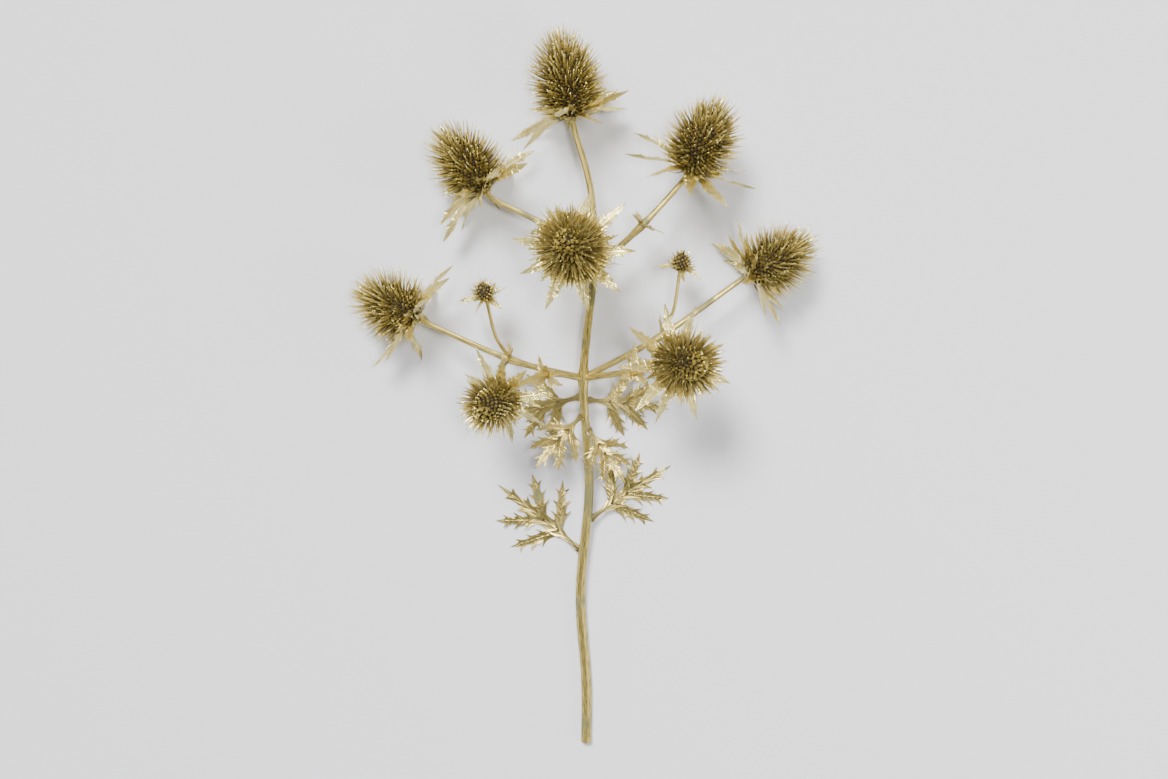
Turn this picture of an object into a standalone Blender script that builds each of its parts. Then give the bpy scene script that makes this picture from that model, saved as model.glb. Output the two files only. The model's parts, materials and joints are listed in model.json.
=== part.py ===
"""One cut sea holly stem, sprayed gold, lying on a flat surface with its cut end towards -Y.

The stem forks twice into side branches. Each branch carries one flower head: a cone covered with
stiff spines, over a ruff of toothed bracts. Deeply cut, spiny leaves spring from the stem's joints.
Lengths are written in millimetres in the plant's own frame, whose y is the distance from the cut end
along the surface, and are turned into metres as the shapes are made.
"""

import math
import random

import bmesh
import bpy
from mathutils import Matrix, Vector

MM = 0.001
UP = Vector((0.0, 0.0, 1.0))

# The plant's frame moves by this much, so that the origin is under the middle of the whole plant.
PLANT_SHIFT = (1.5, -250.5, 0.0)

# Running gap between a head or a leaf and the stem that carries it.
SEAT_GAP = 0.3

# Main stem: its route along the surface, and its radius at the cut end and at the top head.
STEM_SIDES = 10
STEM_CUT_RADIUS = 3.4
STEM_TOP_RADIUS = 1.9
STEM_LIE = STEM_CUT_RADIUS * math.cos(math.pi / STEM_SIDES)
LOWER_FORK = (-2.0, 262.0, 21.0)
UPPER_FORK = (5.0, 336.0, 29.0)
STEM_ROUTE = (
    (0.0, 0.0, STEM_LIE),
    (0.0, 45.0, STEM_LIE),
    (-4.0, 110.0, 6.0),
    (2.0, 185.0, 12.0),
    LOWER_FORK,
    UPPER_FORK,
    (3.0, 388.0, 31.0),
)
STEM_TAPER_POWER = 1.5
JOINT_SWELL = 0.35
JOINT_SWELL_LENGTH = 6.0
STEPS_PER_SPAN = 3

# Side branches. Each runs straight over the last stretch below its head.
BRANCH_SIDES = 7
BRANCH_RADIUS = 2.1
BRANCH_TIP_RADIUS = 1.6
HEAD_FOOT = 8.0
BUD_BRANCH_SIDES = 6
BUD_BRANCH_RADIUS = 1.2
BUD_FOOT = 4.0

# Flower heads: fork, a point on the branch's way, the seat of the head, the way the head points,
# the cone's length and radius, and the size of its ruff.
HEADS = {
    "head_top": ("stem", (3, 388, 31), (-9, 436, 29), (-0.16, 1.0, 0.02), 49, 12.2, 42),
    "head_left_upper": ("upper", (-24, 364, 34), (-66, 389, 28.5), (-0.62, 0.80, 0.02), 42, 11.6, 41),
    "head_right_upper": ("upper", (36, 366, 42), (66, 402, 43), (0.42, 0.88, 0.28), 44, 11.8, 41),
    "head_left_lower": ("lower", (-50, 276, 32), (-112, 303, 28.0), (-0.90, 0.44, 0.0), 39, 11.5, 39),
    "head_right_lower": ("lower", (50, 292, 31), (108, 332, 28.5), (0.88, 0.50, 0.02), 41, 11.5, 40),
    "head_front_upper": ("upper", (-2, 343, 52), (-7, 352, 80), (-0.16, 0.30, 0.94), 38, 12.0, 42),
    "head_front_right": ("lower", (30, 270, 44), (56, 279, 74), (0.48, 0.12, 0.87), 34, 11.2, 39),
    "head_front_left": ("lower", (-26, 268, 42), (-54, 258, 66), (-0.50, -0.30, 0.81), 29, 9.8, 34),
}

# Small side heads that never opened: parent branch, way point, seat, the way it points, cone, ruff.
BUDS = {
    "bud_left": ("head_left_lower", (-60, 292, 37), (-66, 318, 44), (-0.2, 0.85, 0.45), 12, 5.2, 16),
    "bud_right": ("head_right_lower", (58, 310, 35), (62, 336, 36), (0.16, 0.95, 0.1), 12, 5.2, 16),
}

# Cone of a head: a lattice of rows from its foot to near its top, each floret raised into one spine.
# The sizes of spines and bracts are those of a head whose cone has HEAD_RADIUS, and follow that radius.
HEAD_RADIUS = 11.5
BUD_SCALE = 0.5
CONE_AROUND = 9
CONE_ROWS = (0.0, 0.16, 0.32, 0.49, 0.66, 0.82, 0.94)
CONE_NECK = 0.12
CONE_FULLNESS = 0.6
FLORET_SHARE = 0.34
FLORET_RISE = 0.9
SPINE_LENGTH = 17.0
SPINE_LENGTHS = (0.9, 1.1)
SPINE_JITTER = 0.10
SPINE_FOOT_TILT = -8.0
SPINE_TILT_RISE = 84.0
SPINE_TILT_POWER = 1.7
BUD_AROUND = 6
BUD_ROWS = (0.0, 0.34, 0.7)
BUD_SPINE_LENGTH = 6.5

# Ruff of bracts under the cone. Pairs are the least and the most of a range, or where teeth begin and end.
RUFF_COUNT = 9
RUFF_TEETH = 2
BUD_RUFF_COUNT = 6
BUD_RUFF_TEETH = 1
RUFF_RISE = 3.6
RUFF_ROOT = 4.0
RUFF_WIDTH = 2.6
RUFF_TOOTH = 2.0
RUFF_TOOTHED = (0.3, 0.76)
RUFF_FOLD = 0.25
RUFF_SHUFFLE = 0.12
RUFF_DROOP = (-20.0, 8.0)
RUFF_BEND = (-0.35, 0.45)
RUFF_LENGTHS = (0.84, 1.08)
LIE_DOWN_HEIGHT = 14.0
STRAIGHT_DOWN = -0.8

# Blade of any bract or leaf: its half widths are shares of its full half width.
BLADE_THICKNESS = 0.9
BLADE_STEPS = 12
BLADE_ROOT = 0.5
BLADE_END = 0.62
BLADE_FULLNESS = (0.22, 0.66)
TOOTH_PLACE = 0.42
TOOTH_LEAN = 0.8
TIP_THICKNESS = 0.3
LEAST_LEVEL = 0.3

# Leaves: where on the stem they spring, the way they leave it, their length, and whether they lie flat.
LEAVES = {
    "leaf_low_left": (140, (-0.80, 0.62, -0.30), 74, True),
    "leaf_low_right": (162, (0.84, 0.54, -0.30), 68, True),
    "leaf_fork_left": (249, (-0.86, -0.30, -0.44), 64, True),
    "leaf_fork_right": (247, (0.92, -0.16, -0.42), 62, True),
    "leaf_fork_front_left": (236, (-0.66, -0.56, 0.50), 50, False),
    "leaf_fork_front_right": (226, (0.55, -0.62, 0.52), 46, False),
}
LEAF_ROOT_HALF_DEPTH = 0.45
LEAF_WIDTH = 4.2
LEAF_TOOTH = 3.6
LEAF_TEETH = 3
LEAF_TOOTHED = (0.42, 0.86)
LEAF_STALK = ((0.0, 0.6, 0.0), (0.12, 0.9, 0.0))
RAISED_LEAF_FOLD = 0.2
RAISED_LEAF_BEND = (0.0, -0.25, -0.25)
RAISED_LEAF_FACING = (0.0, 0.5, 1.0)

# Side lobes of a leaf: share along its rib, degrees of spread, and reach as a share of the leaf's length.
SIDE_LOBES = ((0.26, 56.0, 0.50), (0.44, 38.0, 0.46))
LOBE_WIDTH = 3.36
LOBE_TEETH = 1
LOBE_TOOTHED = (0.36, 0.74)
LOBE_THICKNESS = 0.8
LOBE_LIFT = 0.08
LOBE_FOLD = 0.16

# Small cut bracts at the stem's upper joint and halfway along the branches.
UPPER_JOINT_BRACTS = 4
UPPER_JOINT_BRACT_LENGTH = 24.0
BRANCH_JOINT_BRACTS = 2
BRANCH_JOINT_BRACT_LENGTH = 20.0
SMALL_BRACT_LENGTHS = (0.85, 1.1)
SMALL_BRACT_LEAN = (0.3, 0.8)
SMALL_BRACT_ROOT = 0.4
SMALL_BRACT_FLOOR = 0.2
SMALL_BRACT_DROOP = 0.3
SMALL_BRACT_WIDTH = 1.7
SMALL_BRACT_TOOTH = 1.9
SMALL_BRACT_TEETH = 1
SMALL_BRACT_TOOTHED = (0.4, 0.66)
SMALL_BRACT_FOLD = 0.3

GOLD_CONE = (0.46, 0.35, 0.13, 1.0)
GOLD_STEM = (0.40, 0.33, 0.16, 1.0)
GOLD_LEAF = (0.60, 0.52, 0.30, 1.0)
GOLD_METALLIC = 0.8


def vec(xyz):
    return Vector(xyz)


def clear_scene():
    for thing in list(bpy.data.objects):
        bpy.data.objects.remove(thing, do_unlink=True)


def gold_paint(name, colour, roughness):
    paint = bpy.data.materials.new(name)
    paint.use_nodes = True
    shader = paint.node_tree.nodes["Principled BSDF"]
    shader.inputs["Base Color"].default_value = colour
    shader.inputs["Metallic"].default_value = GOLD_METALLIC
    shader.inputs["Roughness"].default_value = roughness
    return paint


def piece_from(builder, name):
    """The object of a finished bmesh, with the plant's millimetres and frame turned into the scene's."""
    shape = bpy.data.meshes.new(name)
    bmesh.ops.recalc_face_normals(builder, faces=builder.faces)
    builder.to_mesh(shape)
    builder.free()
    shape.transform(Matrix.Scale(MM, 4) @ Matrix.Translation(PLANT_SHIFT))
    piece = bpy.data.objects.new(name, shape)
    bpy.context.scene.collection.objects.link(piece)
    return piece


def is_closed(shape):
    builder = bmesh.new()
    builder.from_mesh(shape)
    closed = all(edge.is_manifold for edge in builder.edges)
    builder.free()
    return closed


def fuse(body, extras):
    """Joins the extras to the body with one union, and removes them."""
    group = bpy.data.collections.new(body.name + "_extras")
    bpy.context.scene.collection.children.link(group)
    for extra in extras:
        bpy.context.scene.collection.objects.unlink(extra)
        group.objects.link(extra)
    union = body.modifiers.new("fuse", "BOOLEAN")
    union.operation = "UNION"
    union.operand_type = "COLLECTION"
    union.collection = group
    union.use_self = True
    for union.solver in ("EXACT", "MANIFOLD"):
        graph = bpy.context.evaluated_depsgraph_get()
        joined = bpy.data.meshes.new_from_object(body.evaluated_get(graph))
        if is_closed(joined):
            break
    body.modifiers.remove(union)
    body.data = joined
    for extra in extras:
        bpy.data.objects.remove(extra, do_unlink=True)
    bpy.data.collections.remove(group)
    return body


def finish(piece, paint):
    piece.data.materials.clear()
    piece.data.materials.append(paint)
    return piece


def smooth_route(points):
    """A Catmull-Rom curve through the points."""
    points = [vec(p) for p in points]
    padded = [2 * points[0] - points[1], *points, 2 * points[-1] - points[-2]]
    route = [points[0]]
    for before, start, end, after in zip(padded, padded[1:], padded[2:], padded[3:]):
        for step in range(1, STEPS_PER_SPAN + 1):
            t = step / STEPS_PER_SPAN
            route.append(
                0.5
                * (
                    2 * start
                    + (end - before) * t
                    + (2 * before - 5 * start + 4 * end - after) * t**2
                    + (3 * start - before - 3 * end + after) * t**3
                )
            )
    return route


def tangents(route, last):
    """The direction at each point of a route, which ends square on to last."""
    ends = zip([route[0], *route[:-2]], route[1:])
    return [*[(after - before).normalized() for before, after in ends], vec(last).normalized()]


def tube(name, route, radii, sides, last):
    """A closed round bar along the route: a flat side down at its start, its end square on to last."""
    builder = bmesh.new()
    down = -UP
    rings = []
    for point, along, radius in zip(route, tangents(route, last), radii):
        down = (down - along * down.dot(along)).normalized()
        side = along.cross(down)
        ring = []
        for k in range(sides):
            angle = 2 * math.pi * (k + 0.5) / sides
            ring.append(builder.verts.new(point + radius * (math.cos(angle) * down + math.sin(angle) * side)))
        rings.append(ring)
    for lower, upper in zip(rings, rings[1:]):
        for k in range(sides):
            builder.faces.new((lower[k], lower[(k + 1) % sides], upper[(k + 1) % sides], upper[k]))
    builder.faces.new(rings[0])
    builder.faces.new(rings[-1])
    return piece_from(builder, name)


def march(start, direction, length, bend, floor, fallback):
    """A line that leaves start, curves by bend over its length, and slides along the surface it meets."""
    route = [start.copy()]
    heading = direction.normalized()
    step = length / BLADE_STEPS
    for _ in range(BLADE_STEPS):
        heading = (heading + bend / BLADE_STEPS).normalized()
        ahead = route[-1] + heading * step
        if ahead.z < floor:
            level = Vector((heading.x, heading.y, 0.0))
            if level.length < LEAST_LEVEL:
                level = level + fallback
            heading = level.normalized()
            ahead = route[-1] + heading * step
            ahead.z = floor
        route.append(ahead)
    return route


def point_on(route, share):
    """The point and the direction at a share of a route of equal steps."""
    place = min(max(share, 0.0), 1.0) * (len(route) - 1)
    i = min(int(place), len(route) - 2)
    step = route[i + 1] - route[i]
    return route[i] + step * (place - i), step.normalized()


def toothed_sections(width, tooth, teeth, toothed):
    """Share of the length, half width and forward lead of each cross-section of a toothed blade."""
    first, last = toothed
    fullness_foot, fullness_rise = BLADE_FULLNESS
    sections = [(0.0, BLADE_ROOT * width, 0.0)]
    pitch = (last - first) / teeth
    for k in range(teeth):
        at = first + k * pitch
        half_width = width * math.sin(math.pi * (fullness_foot + fullness_rise * at))
        sections.append((at, half_width, 0.0))
        sections.append((at + TOOTH_PLACE * pitch, half_width + tooth, TOOTH_LEAN * tooth))
    sections.append((last, BLADE_END * width, 0.0))
    return sections


def blade(name, route, sections, facing_at, thickness, fold, floor=0.0):
    """A thin toothed blade, flat or folded up along its rib, whose underside follows the route."""
    builder = bmesh.new()

    def vertex(at, least):
        return builder.verts.new((at.x, at.y, max(at.z, least)))

    rings = []
    for share, half_width, lead in sections:
        point, along = point_on(route, share)
        side = along.cross(facing_at(point)).normalized()
        normal = side.cross(along)
        edge = along * lead + normal * fold * half_width
        rings.append(
            [
                vertex(point - side * half_width + edge, floor),
                vertex(point, floor),
                vertex(point + side * half_width + edge, floor),
                vertex(point + normal * thickness, floor + thickness),
            ]
        )
    tip = builder.verts.new(route[-1] + normal * TIP_THICKNESS * thickness)
    for lower, upper in zip(rings, rings[1:]):
        for k in range(4):
            m = (k + 1) % 4
            # Both faces of the blade are split into triangles alike, from the rib outwards.
            on_rib, on_rim = (k, m) if k % 2 else (m, k)
            rib, rib_ahead, rim, rim_ahead = lower[on_rib], upper[on_rib], lower[on_rim], upper[on_rim]
            builder.faces.new((rib, rim, rim_ahead))
            builder.faces.new((rib, rim_ahead, rib_ahead))
    for k in range(4):
        builder.faces.new((rings[-1][k], rings[-1][(k + 1) % 4], tip))
    builder.faces.new(rings[0])
    return piece_from(builder, name)


def turn_to(axis):
    """The turn that takes +Z to axis."""
    return axis.normalized().to_track_quat("Z", "Y").to_matrix()


def cone_radius(share, radius):
    return radius * math.sin(math.pi * (CONE_NECK + (1 - CONE_NECK) * share)) ** CONE_FULLNESS


def spine_tilt(share):
    """The angle of a spine above the level across the cone: out at its foot, forward at its crown."""
    return math.radians(SPINE_FOOT_TILT + SPINE_TILT_RISE * share**SPINE_TILT_POWER)


def spiny_cone(name, seat, turn, length, radius, around, rows, spine_length, rng):
    """A cone whose lattice of raised florets each carries one spine."""
    builder = bmesh.new()

    def world(local):
        return seat + turn @ local

    rings = []
    for i, share in enumerate(rows):
        r = cone_radius(share, radius)
        ring = []
        for j in range(around):
            angle = 2 * math.pi * (j + 0.5 * i) / around
            ring.append(Vector((r * math.cos(angle), r * math.sin(angle), share * length)))
        rings.append(ring)
    foot = builder.verts.new(world(Vector((0, 0, 0))))
    apex_at = Vector((0, 0, length))
    apex = builder.verts.new(world(apex_at))
    made = [[builder.verts.new(world(at)) for at in ring] for ring in rings]

    cells = []
    for i in range(len(rows) - 1):
        for j in range(around):
            m = (j + 1) % around
            corners = (made[i][j], made[i][m], made[i + 1][j], made[i + 1][m])
            places = (rings[i][j], rings[i][m], rings[i + 1][j], rings[i + 1][m])
            for order in ((0, 1, 2), (1, 3, 2)):
                cells.append(([corners[k] for k in order], [places[k] for k in order], i > 0))
    for j in range(around):
        m = (j + 1) % around
        builder.faces.new((foot, made[0][m], made[0][j]))
        cells.append(([made[-1][j], made[-1][m], apex], [rings[-1][j], rings[-1][m], apex_at], True))

    for corners, places, spiny in cells:
        if not spiny:
            builder.faces.new(corners)
            continue
        middle = sum(places, Vector()) / 3
        outward = (places[1] - places[0]).cross(places[2] - places[0]).normalized()
        share = middle.z / length
        tilt = spine_tilt(share)
        level = Vector((middle.x, middle.y, 0)).normalized()
        heading = level * math.cos(tilt) + Vector((0, 0, math.sin(tilt)))
        heading += Vector([rng.uniform(-SPINE_JITTER, SPINE_JITTER) for _ in range(3)])
        reach = spine_length * rng.uniform(*SPINE_LENGTHS)
        tip_at = world(middle + heading.normalized() * reach)
        tip_at.z = max(tip_at.z, 0.0)
        tip = builder.verts.new(tip_at)
        inner = [
            builder.verts.new(world(middle + (at - middle) * FLORET_SHARE + outward * FLORET_RISE))
            for at in places
        ]
        for k in range(3):
            m = (k + 1) % 3
            builder.faces.new((corners[k], corners[m], inner[m], inner[k]))
            builder.faces.new((inner[k], inner[m], tip))
    return piece_from(builder, name)


def ruff(name, seat, turn, count, teeth, reach, scale):
    """The whorl of toothed bracts under a cone."""
    rng = random.Random(name + "_ruff")
    axis = turn @ UP
    back = Vector((-axis.x, -axis.y, 0.0))
    bracts = []
    for k in range(count):
        angle = 2 * math.pi * (k + rng.uniform(-RUFF_SHUFFLE, RUFF_SHUFFLE)) / count
        droop = math.radians(rng.uniform(*RUFF_DROOP))
        level = Vector((math.cos(angle), math.sin(angle), 0.0))
        heading = turn @ (level * math.cos(droop) + UP * math.sin(droop))
        start = seat + turn @ (level * RUFF_ROOT * scale + UP * RUFF_RISE * scale)
        bend = axis * rng.uniform(*RUFF_BEND)
        length = reach * rng.uniform(*RUFF_LENGTHS)
        route = march(start, heading, length, bend, 0.0, back)
        sections = toothed_sections(RUFF_WIDTH * scale, RUFF_TOOTH * scale, teeth, RUFF_TOOTHED)
        inner = -axis if heading.z < STRAIGHT_DOWN else axis

        def facing_at(point, inner=inner):
            """The bract's upper side: towards the cone, turning up where the bract nears the surface."""
            level_share = min(max((LIE_DOWN_HEIGHT - point.z) / LIE_DOWN_HEIGHT, 0.0), 1.0)
            return inner.lerp(UP, level_share)

        bracts.append(blade(f"{name}_bract_{k}", route, sections, facing_at, BLADE_THICKNESS, RUFF_FOLD))
    return bracts


def flower_head(name, seat, axis, length, radius, reach, paint, bud=False):
    """One head, seated a running gap above the end of its branch."""
    rng = random.Random(name)
    axis = vec(axis).normalized()
    turn = turn_to(axis) @ Matrix.Rotation(rng.uniform(0, 2 * math.pi), 3, "Z")
    at = vec(seat) + axis * SEAT_GAP
    around, rows = (BUD_AROUND, BUD_ROWS) if bud else (CONE_AROUND, CONE_ROWS)
    scale = BUD_SCALE if bud else radius / HEAD_RADIUS
    spine = BUD_SPINE_LENGTH if bud else SPINE_LENGTH * scale
    cone = spiny_cone(name, at, turn, length, radius, around, rows, spine, rng)
    count, teeth = (BUD_RUFF_COUNT, BUD_RUFF_TEETH) if bud else (RUFF_COUNT, RUFF_TEETH)
    bracts = ruff(name, at, turn, count, teeth, reach, scale)
    return finish(fuse(cone, bracts), paint)


def stem_radius(point):
    """The main stem's radius where it passes a point, thicker at its joints."""
    share = point.y / vec(HEADS["head_top"][2]).y
    radius = STEM_CUT_RADIUS
    if point.y > STEM_ROUTE[1][1]:
        radius += (STEM_TOP_RADIUS - STEM_CUT_RADIUS) * share**STEM_TAPER_POWER
    for joint in (LOWER_FORK, UPPER_FORK):
        radius *= 1 + JOINT_SWELL * math.exp(-(((point.y - joint[1]) / JOINT_SWELL_LENGTH) ** 2))
    return radius


def head_route(name):
    """The branch of a head, from inside the fork to the head's seat, which it meets square on."""
    fork, way, seat, axis = HEADS[name][:4]
    start = {"lower": LOWER_FORK, "upper": UPPER_FORK}[fork]
    seat = vec(seat)
    return smooth_route([start, way, seat - vec(axis).normalized() * HEAD_FOOT, seat])


def bud_route(name):
    parent, way, seat, axis = BUDS[name][:4]
    seat = vec(seat)
    start = vec(HEADS[parent][1])
    return smooth_route([start, way, seat - vec(axis).normalized() * BUD_FOOT, seat])


def small_bracts(name, joint, along, count, length, rng):
    """Short cut bracts spread round a joint, with their roots inside it."""
    turn = turn_to(along) @ Matrix.Rotation(rng.uniform(0, 2 * math.pi), 3, "Z")
    sections = toothed_sections(
        SMALL_BRACT_WIDTH, SMALL_BRACT_TOOTH, SMALL_BRACT_TEETH, SMALL_BRACT_TOOTHED
    )
    bracts = []
    for k in range(count):
        angle = 2 * math.pi * k / count
        level = turn @ Vector((math.cos(angle), math.sin(angle), 0.0))
        heading = level + along * rng.uniform(*SMALL_BRACT_LEAN)
        root = joint + level * SMALL_BRACT_ROOT
        reach = length * rng.uniform(*SMALL_BRACT_LENGTHS)
        route = march(root, heading, reach, -along * SMALL_BRACT_DROOP, SMALL_BRACT_FLOOR, along)
        bract_name = f"{name}_{k}"
        bracts.append(blade(bract_name, route, sections, lambda _: along, BLADE_THICKNESS, SMALL_BRACT_FOLD))
    return bracts


def main_route():
    seat, axis = HEADS["head_top"][2:4]
    foot = vec(seat) - vec(axis).normalized() * HEAD_FOOT
    route = smooth_route([*STEM_ROUTE, foot, seat])
    return [Vector((p.x, p.y, max(p.z, STEM_LIE))) for p in route]


def build_stem(paint):
    """The main stem and its branches, which grew as one piece."""
    rng = random.Random("joints")
    route = main_route()
    stem = tube("stem", route, [stem_radius(p) for p in route], STEM_SIDES, HEADS["head_top"][3])
    along = (vec(HEADS["head_top"][1]) - vec(UPPER_FORK)).normalized()
    extras = small_bracts(
        "upper_joint_bract", vec(UPPER_FORK), along, UPPER_JOINT_BRACTS, UPPER_JOINT_BRACT_LENGTH, rng
    )
    for name in HEADS:
        if HEADS[name][0] == "stem":
            continue
        path = head_route(name)
        last = len(path) - 1
        radii = [BRANCH_RADIUS + (BRANCH_TIP_RADIUS - BRANCH_RADIUS) * i / last for i in range(last + 1)]
        extras.append(tube(name + "_branch", path, radii, BRANCH_SIDES, HEADS[name][3]))
        joint = vec(HEADS[name][1])
        along = (vec(HEADS[name][2]) - joint).normalized()
        extras += small_bracts(
            name + "_joint", joint, along, BRANCH_JOINT_BRACTS, BRANCH_JOINT_BRACT_LENGTH, rng
        )
    for name in BUDS:
        path = bud_route(name)
        radii = [BUD_BRANCH_RADIUS] * len(path)
        extras.append(tube(name + "_branch", path, radii, BUD_BRANCH_SIDES, BUDS[name][3]))
    return finish(fuse(stem, extras), paint)


def stem_point(y):
    """The point of the main stem's middle line at a distance y from the cut end."""
    route = main_route()
    for before, after in zip(route, route[1:]):
        if before.y <= y <= after.y:
            return before.lerp(after, (y - before.y) / (after.y - before.y))
    raise ValueError(f"the stem has no point at y {y}")


def leaf(name, paint):
    """A leaf cut into a middle lobe and two pairs of side lobes, all with spiny teeth."""
    y, heading, length, lies = LEAVES[name]
    middle = stem_point(y)
    heading = vec(heading).normalized()
    across_stem = Vector((heading.x, 0.0, heading.z)).normalized()
    start = middle + across_stem * (stem_radius(middle) + SEAT_GAP + LEAF_ROOT_HALF_DEPTH)
    facing = UP if lies else (vec(RAISED_LEAF_FACING) - heading * heading.z).normalized()
    bend = Vector() if lies else vec(RAISED_LEAF_BEND)
    rib = march(start, heading, length, bend, 0.0, heading)
    sections = [*LEAF_STALK, *toothed_sections(LEAF_WIDTH, LEAF_TOOTH, LEAF_TEETH, LEAF_TOOTHED)[1:]]
    fold = 0.0 if lies else RAISED_LEAF_FOLD
    body = blade(name, rib, sections, lambda _: facing, BLADE_THICKNESS, fold)
    lobes = []
    for share, spread, reach in SIDE_LOBES:
        for hand in (-1, 1):
            # Each lobe lies a little higher than the last and folds up, so that no two share a plane.
            number = len(lobes) + 1
            lift = number * LOBE_LIFT
            at, along = point_on(rib, share)
            swing = Matrix.Rotation(math.radians(-hand * spread), 3, facing)
            lobe_heading = swing @ along
            route = march(at + facing * lift, lobe_heading, length * reach, bend, lift, lobe_heading)
            cuts = toothed_sections(LOBE_WIDTH, LEAF_TOOTH, LOBE_TEETH, LOBE_TOOTHED)
            lobe_name = f"{name}_lobe_{number}"
            lobes.append(blade(lobe_name, route, cuts, lambda _: facing, LOBE_THICKNESS, LOBE_FOLD, lift))
    return finish(fuse(body, lobes), paint)


clear_scene()
stem_paint = gold_paint("gold_stem", GOLD_STEM, 0.45)
head_paint = gold_paint("gold_head", GOLD_CONE, 0.42)
leaf_paint = gold_paint("gold_leaf", GOLD_LEAF, 0.38)
build_stem(stem_paint)
for leaf_name in LEAVES:
    leaf(leaf_name, leaf_paint)
for head_name, (_, _, head_seat, head_axis, cone_length, cone_width, ruff_reach) in HEADS.items():
    flower_head(head_name, head_seat, head_axis, cone_length, cone_width, ruff_reach, head_paint)
for bud_name, (_, _, bud_seat, bud_axis, cone_length, cone_width, ruff_reach) in BUDS.items():
    flower_head(bud_name, bud_seat, bud_axis, cone_length, cone_width, ruff_reach, head_paint, bud=True)
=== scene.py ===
"""The looks of a cut sea holly stem that was dried and sprayed gold.

The stem lies on a pale table and the camera looks down on it, so that it stands upright in the view.
Lengths are millimetres in the plant's own frame, whose y is the distance from the cut end along the
table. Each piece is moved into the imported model's frame, in metres, as its mesh is made.
"""

import json
import math
import random
from collections import namedtuple

import bmesh
import bpy
from mathutils import Matrix, Vector, noise

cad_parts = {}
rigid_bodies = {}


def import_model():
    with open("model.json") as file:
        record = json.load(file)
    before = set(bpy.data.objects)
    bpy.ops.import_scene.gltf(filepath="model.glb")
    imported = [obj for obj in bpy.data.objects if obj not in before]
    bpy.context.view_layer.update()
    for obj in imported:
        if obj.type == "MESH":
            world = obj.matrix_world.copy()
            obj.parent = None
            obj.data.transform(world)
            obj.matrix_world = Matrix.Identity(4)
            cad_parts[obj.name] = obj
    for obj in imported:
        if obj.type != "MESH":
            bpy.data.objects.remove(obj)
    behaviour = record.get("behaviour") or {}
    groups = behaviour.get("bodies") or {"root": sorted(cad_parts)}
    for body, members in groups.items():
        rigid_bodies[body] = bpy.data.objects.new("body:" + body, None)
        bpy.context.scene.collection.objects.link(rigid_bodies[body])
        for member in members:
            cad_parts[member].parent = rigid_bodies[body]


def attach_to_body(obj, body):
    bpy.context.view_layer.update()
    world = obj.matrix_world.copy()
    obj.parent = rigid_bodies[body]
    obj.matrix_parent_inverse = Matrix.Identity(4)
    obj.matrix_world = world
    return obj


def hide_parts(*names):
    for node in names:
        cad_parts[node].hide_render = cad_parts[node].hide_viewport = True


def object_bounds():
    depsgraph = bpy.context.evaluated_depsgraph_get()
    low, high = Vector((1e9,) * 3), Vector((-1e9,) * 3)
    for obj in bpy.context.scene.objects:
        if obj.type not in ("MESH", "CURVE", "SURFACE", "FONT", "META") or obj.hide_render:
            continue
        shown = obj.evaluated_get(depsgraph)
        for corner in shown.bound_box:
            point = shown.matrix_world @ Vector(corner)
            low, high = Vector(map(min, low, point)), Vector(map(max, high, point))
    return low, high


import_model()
cad_low, cad_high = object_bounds()

# The studio: a wide pale table under the stem, a broad far lamp beyond the flower end, a small lamp
# beside the camera for the glints, and pale walls all round under a dimmer ceiling. The camera looks
# down from just beyond the flowers, as it looks slightly down on the upright bunch.
TABLE_COLOUR = (0.80, 0.80, 0.83, 1.0)
TABLE_SIZE = 60.0
TABLE_GRAIN = 40.0
TABLE_ROUGHNESS = 0.55
TABLE_UNEVENNESS = 0.20
WALL_COLOUR = (0.97, 0.97, 1.0, 1.0)
WALL_LIGHT = 1.5
CEILING_LIGHT = 0.17
CEILING_HEIGHT = 0.55
LENS = 60.0
VIEW_DISTANCE = 1.27
VIEW_RISE = 0.011
VIEW_TILT = math.radians(9.0)
FAR_LAMP_FROM = (-0.30, 0.75, 1.05)
FAR_LAMP_LIGHT = 5.8
FAR_LAMP_SPREAD = math.radians(18.0)
LAMPS = {
    # place in metres from the middle of the plant, size, power
    "camera_lamp": ((0.20, 0.30, 1.5), 0.2, 14.0),
    "side_lamp": ((1.1, -0.3, 0.8), 0.5, 6.0),
}


def add_object(name, data):
    """A new object of the data, in the scene."""
    thing = bpy.data.objects.new(name, data)
    bpy.context.scene.collection.objects.link(thing)
    return thing


def turn_lamp(lamp, way_from):
    """Turns a lamp so that it shines from that side."""
    lamp.rotation_euler = Vector(way_from).to_track_quat("Z", "Y").to_euler()


def add_node(tree, kind, inputs=(), **settings):
    """A new node with its settings, whose inputs are each given a value or the socket that feeds it."""
    node = tree.nodes.new(kind)
    for name, value in settings.items():
        setattr(node, name, value)
    for key, value in dict(inputs).items():
        if isinstance(value, bpy.types.NodeSocket):
            tree.links.new(value, node.inputs[key])
        else:
            node.inputs[key].default_value = value
    return node


def node_result(tree, kind, inputs=(), **settings):
    """The first output of a new node."""
    return add_node(tree, kind, inputs, **settings).outputs[0]


def separate(tree, vector):
    """The X, Y and Z of a vector."""
    return add_node(tree, "ShaderNodeSeparateXYZ", {0: vector}).outputs


def calc(tree, operation, *values):
    """The result of a sum on sockets and numbers."""
    return node_result(tree, "ShaderNodeMath", dict(enumerate(values)), operation=operation)


def ramp(tree, value, low, high, to_low=0.0, to_high=1.0):
    """A value that eases from to_low to to_high as the input goes from low to high."""
    sockets = {0: value, 1: low, 2: high, 3: to_low, 4: to_high}
    return node_result(tree, "ShaderNodeMapRange", sockets, interpolation_type="SMOOTHSTEP")


def speckle(tree, vector, scale, detail=2.0):
    """A soft random pattern, from 0 to 1."""
    return node_result(tree, "ShaderNodeTexNoise", {"Vector": vector, "Scale": scale, "Detail": detail})


def object_place(tree):
    """The place of a point on its piece, in metres."""
    return add_node(tree, "ShaderNodeTexCoord").outputs["Object"]


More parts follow.
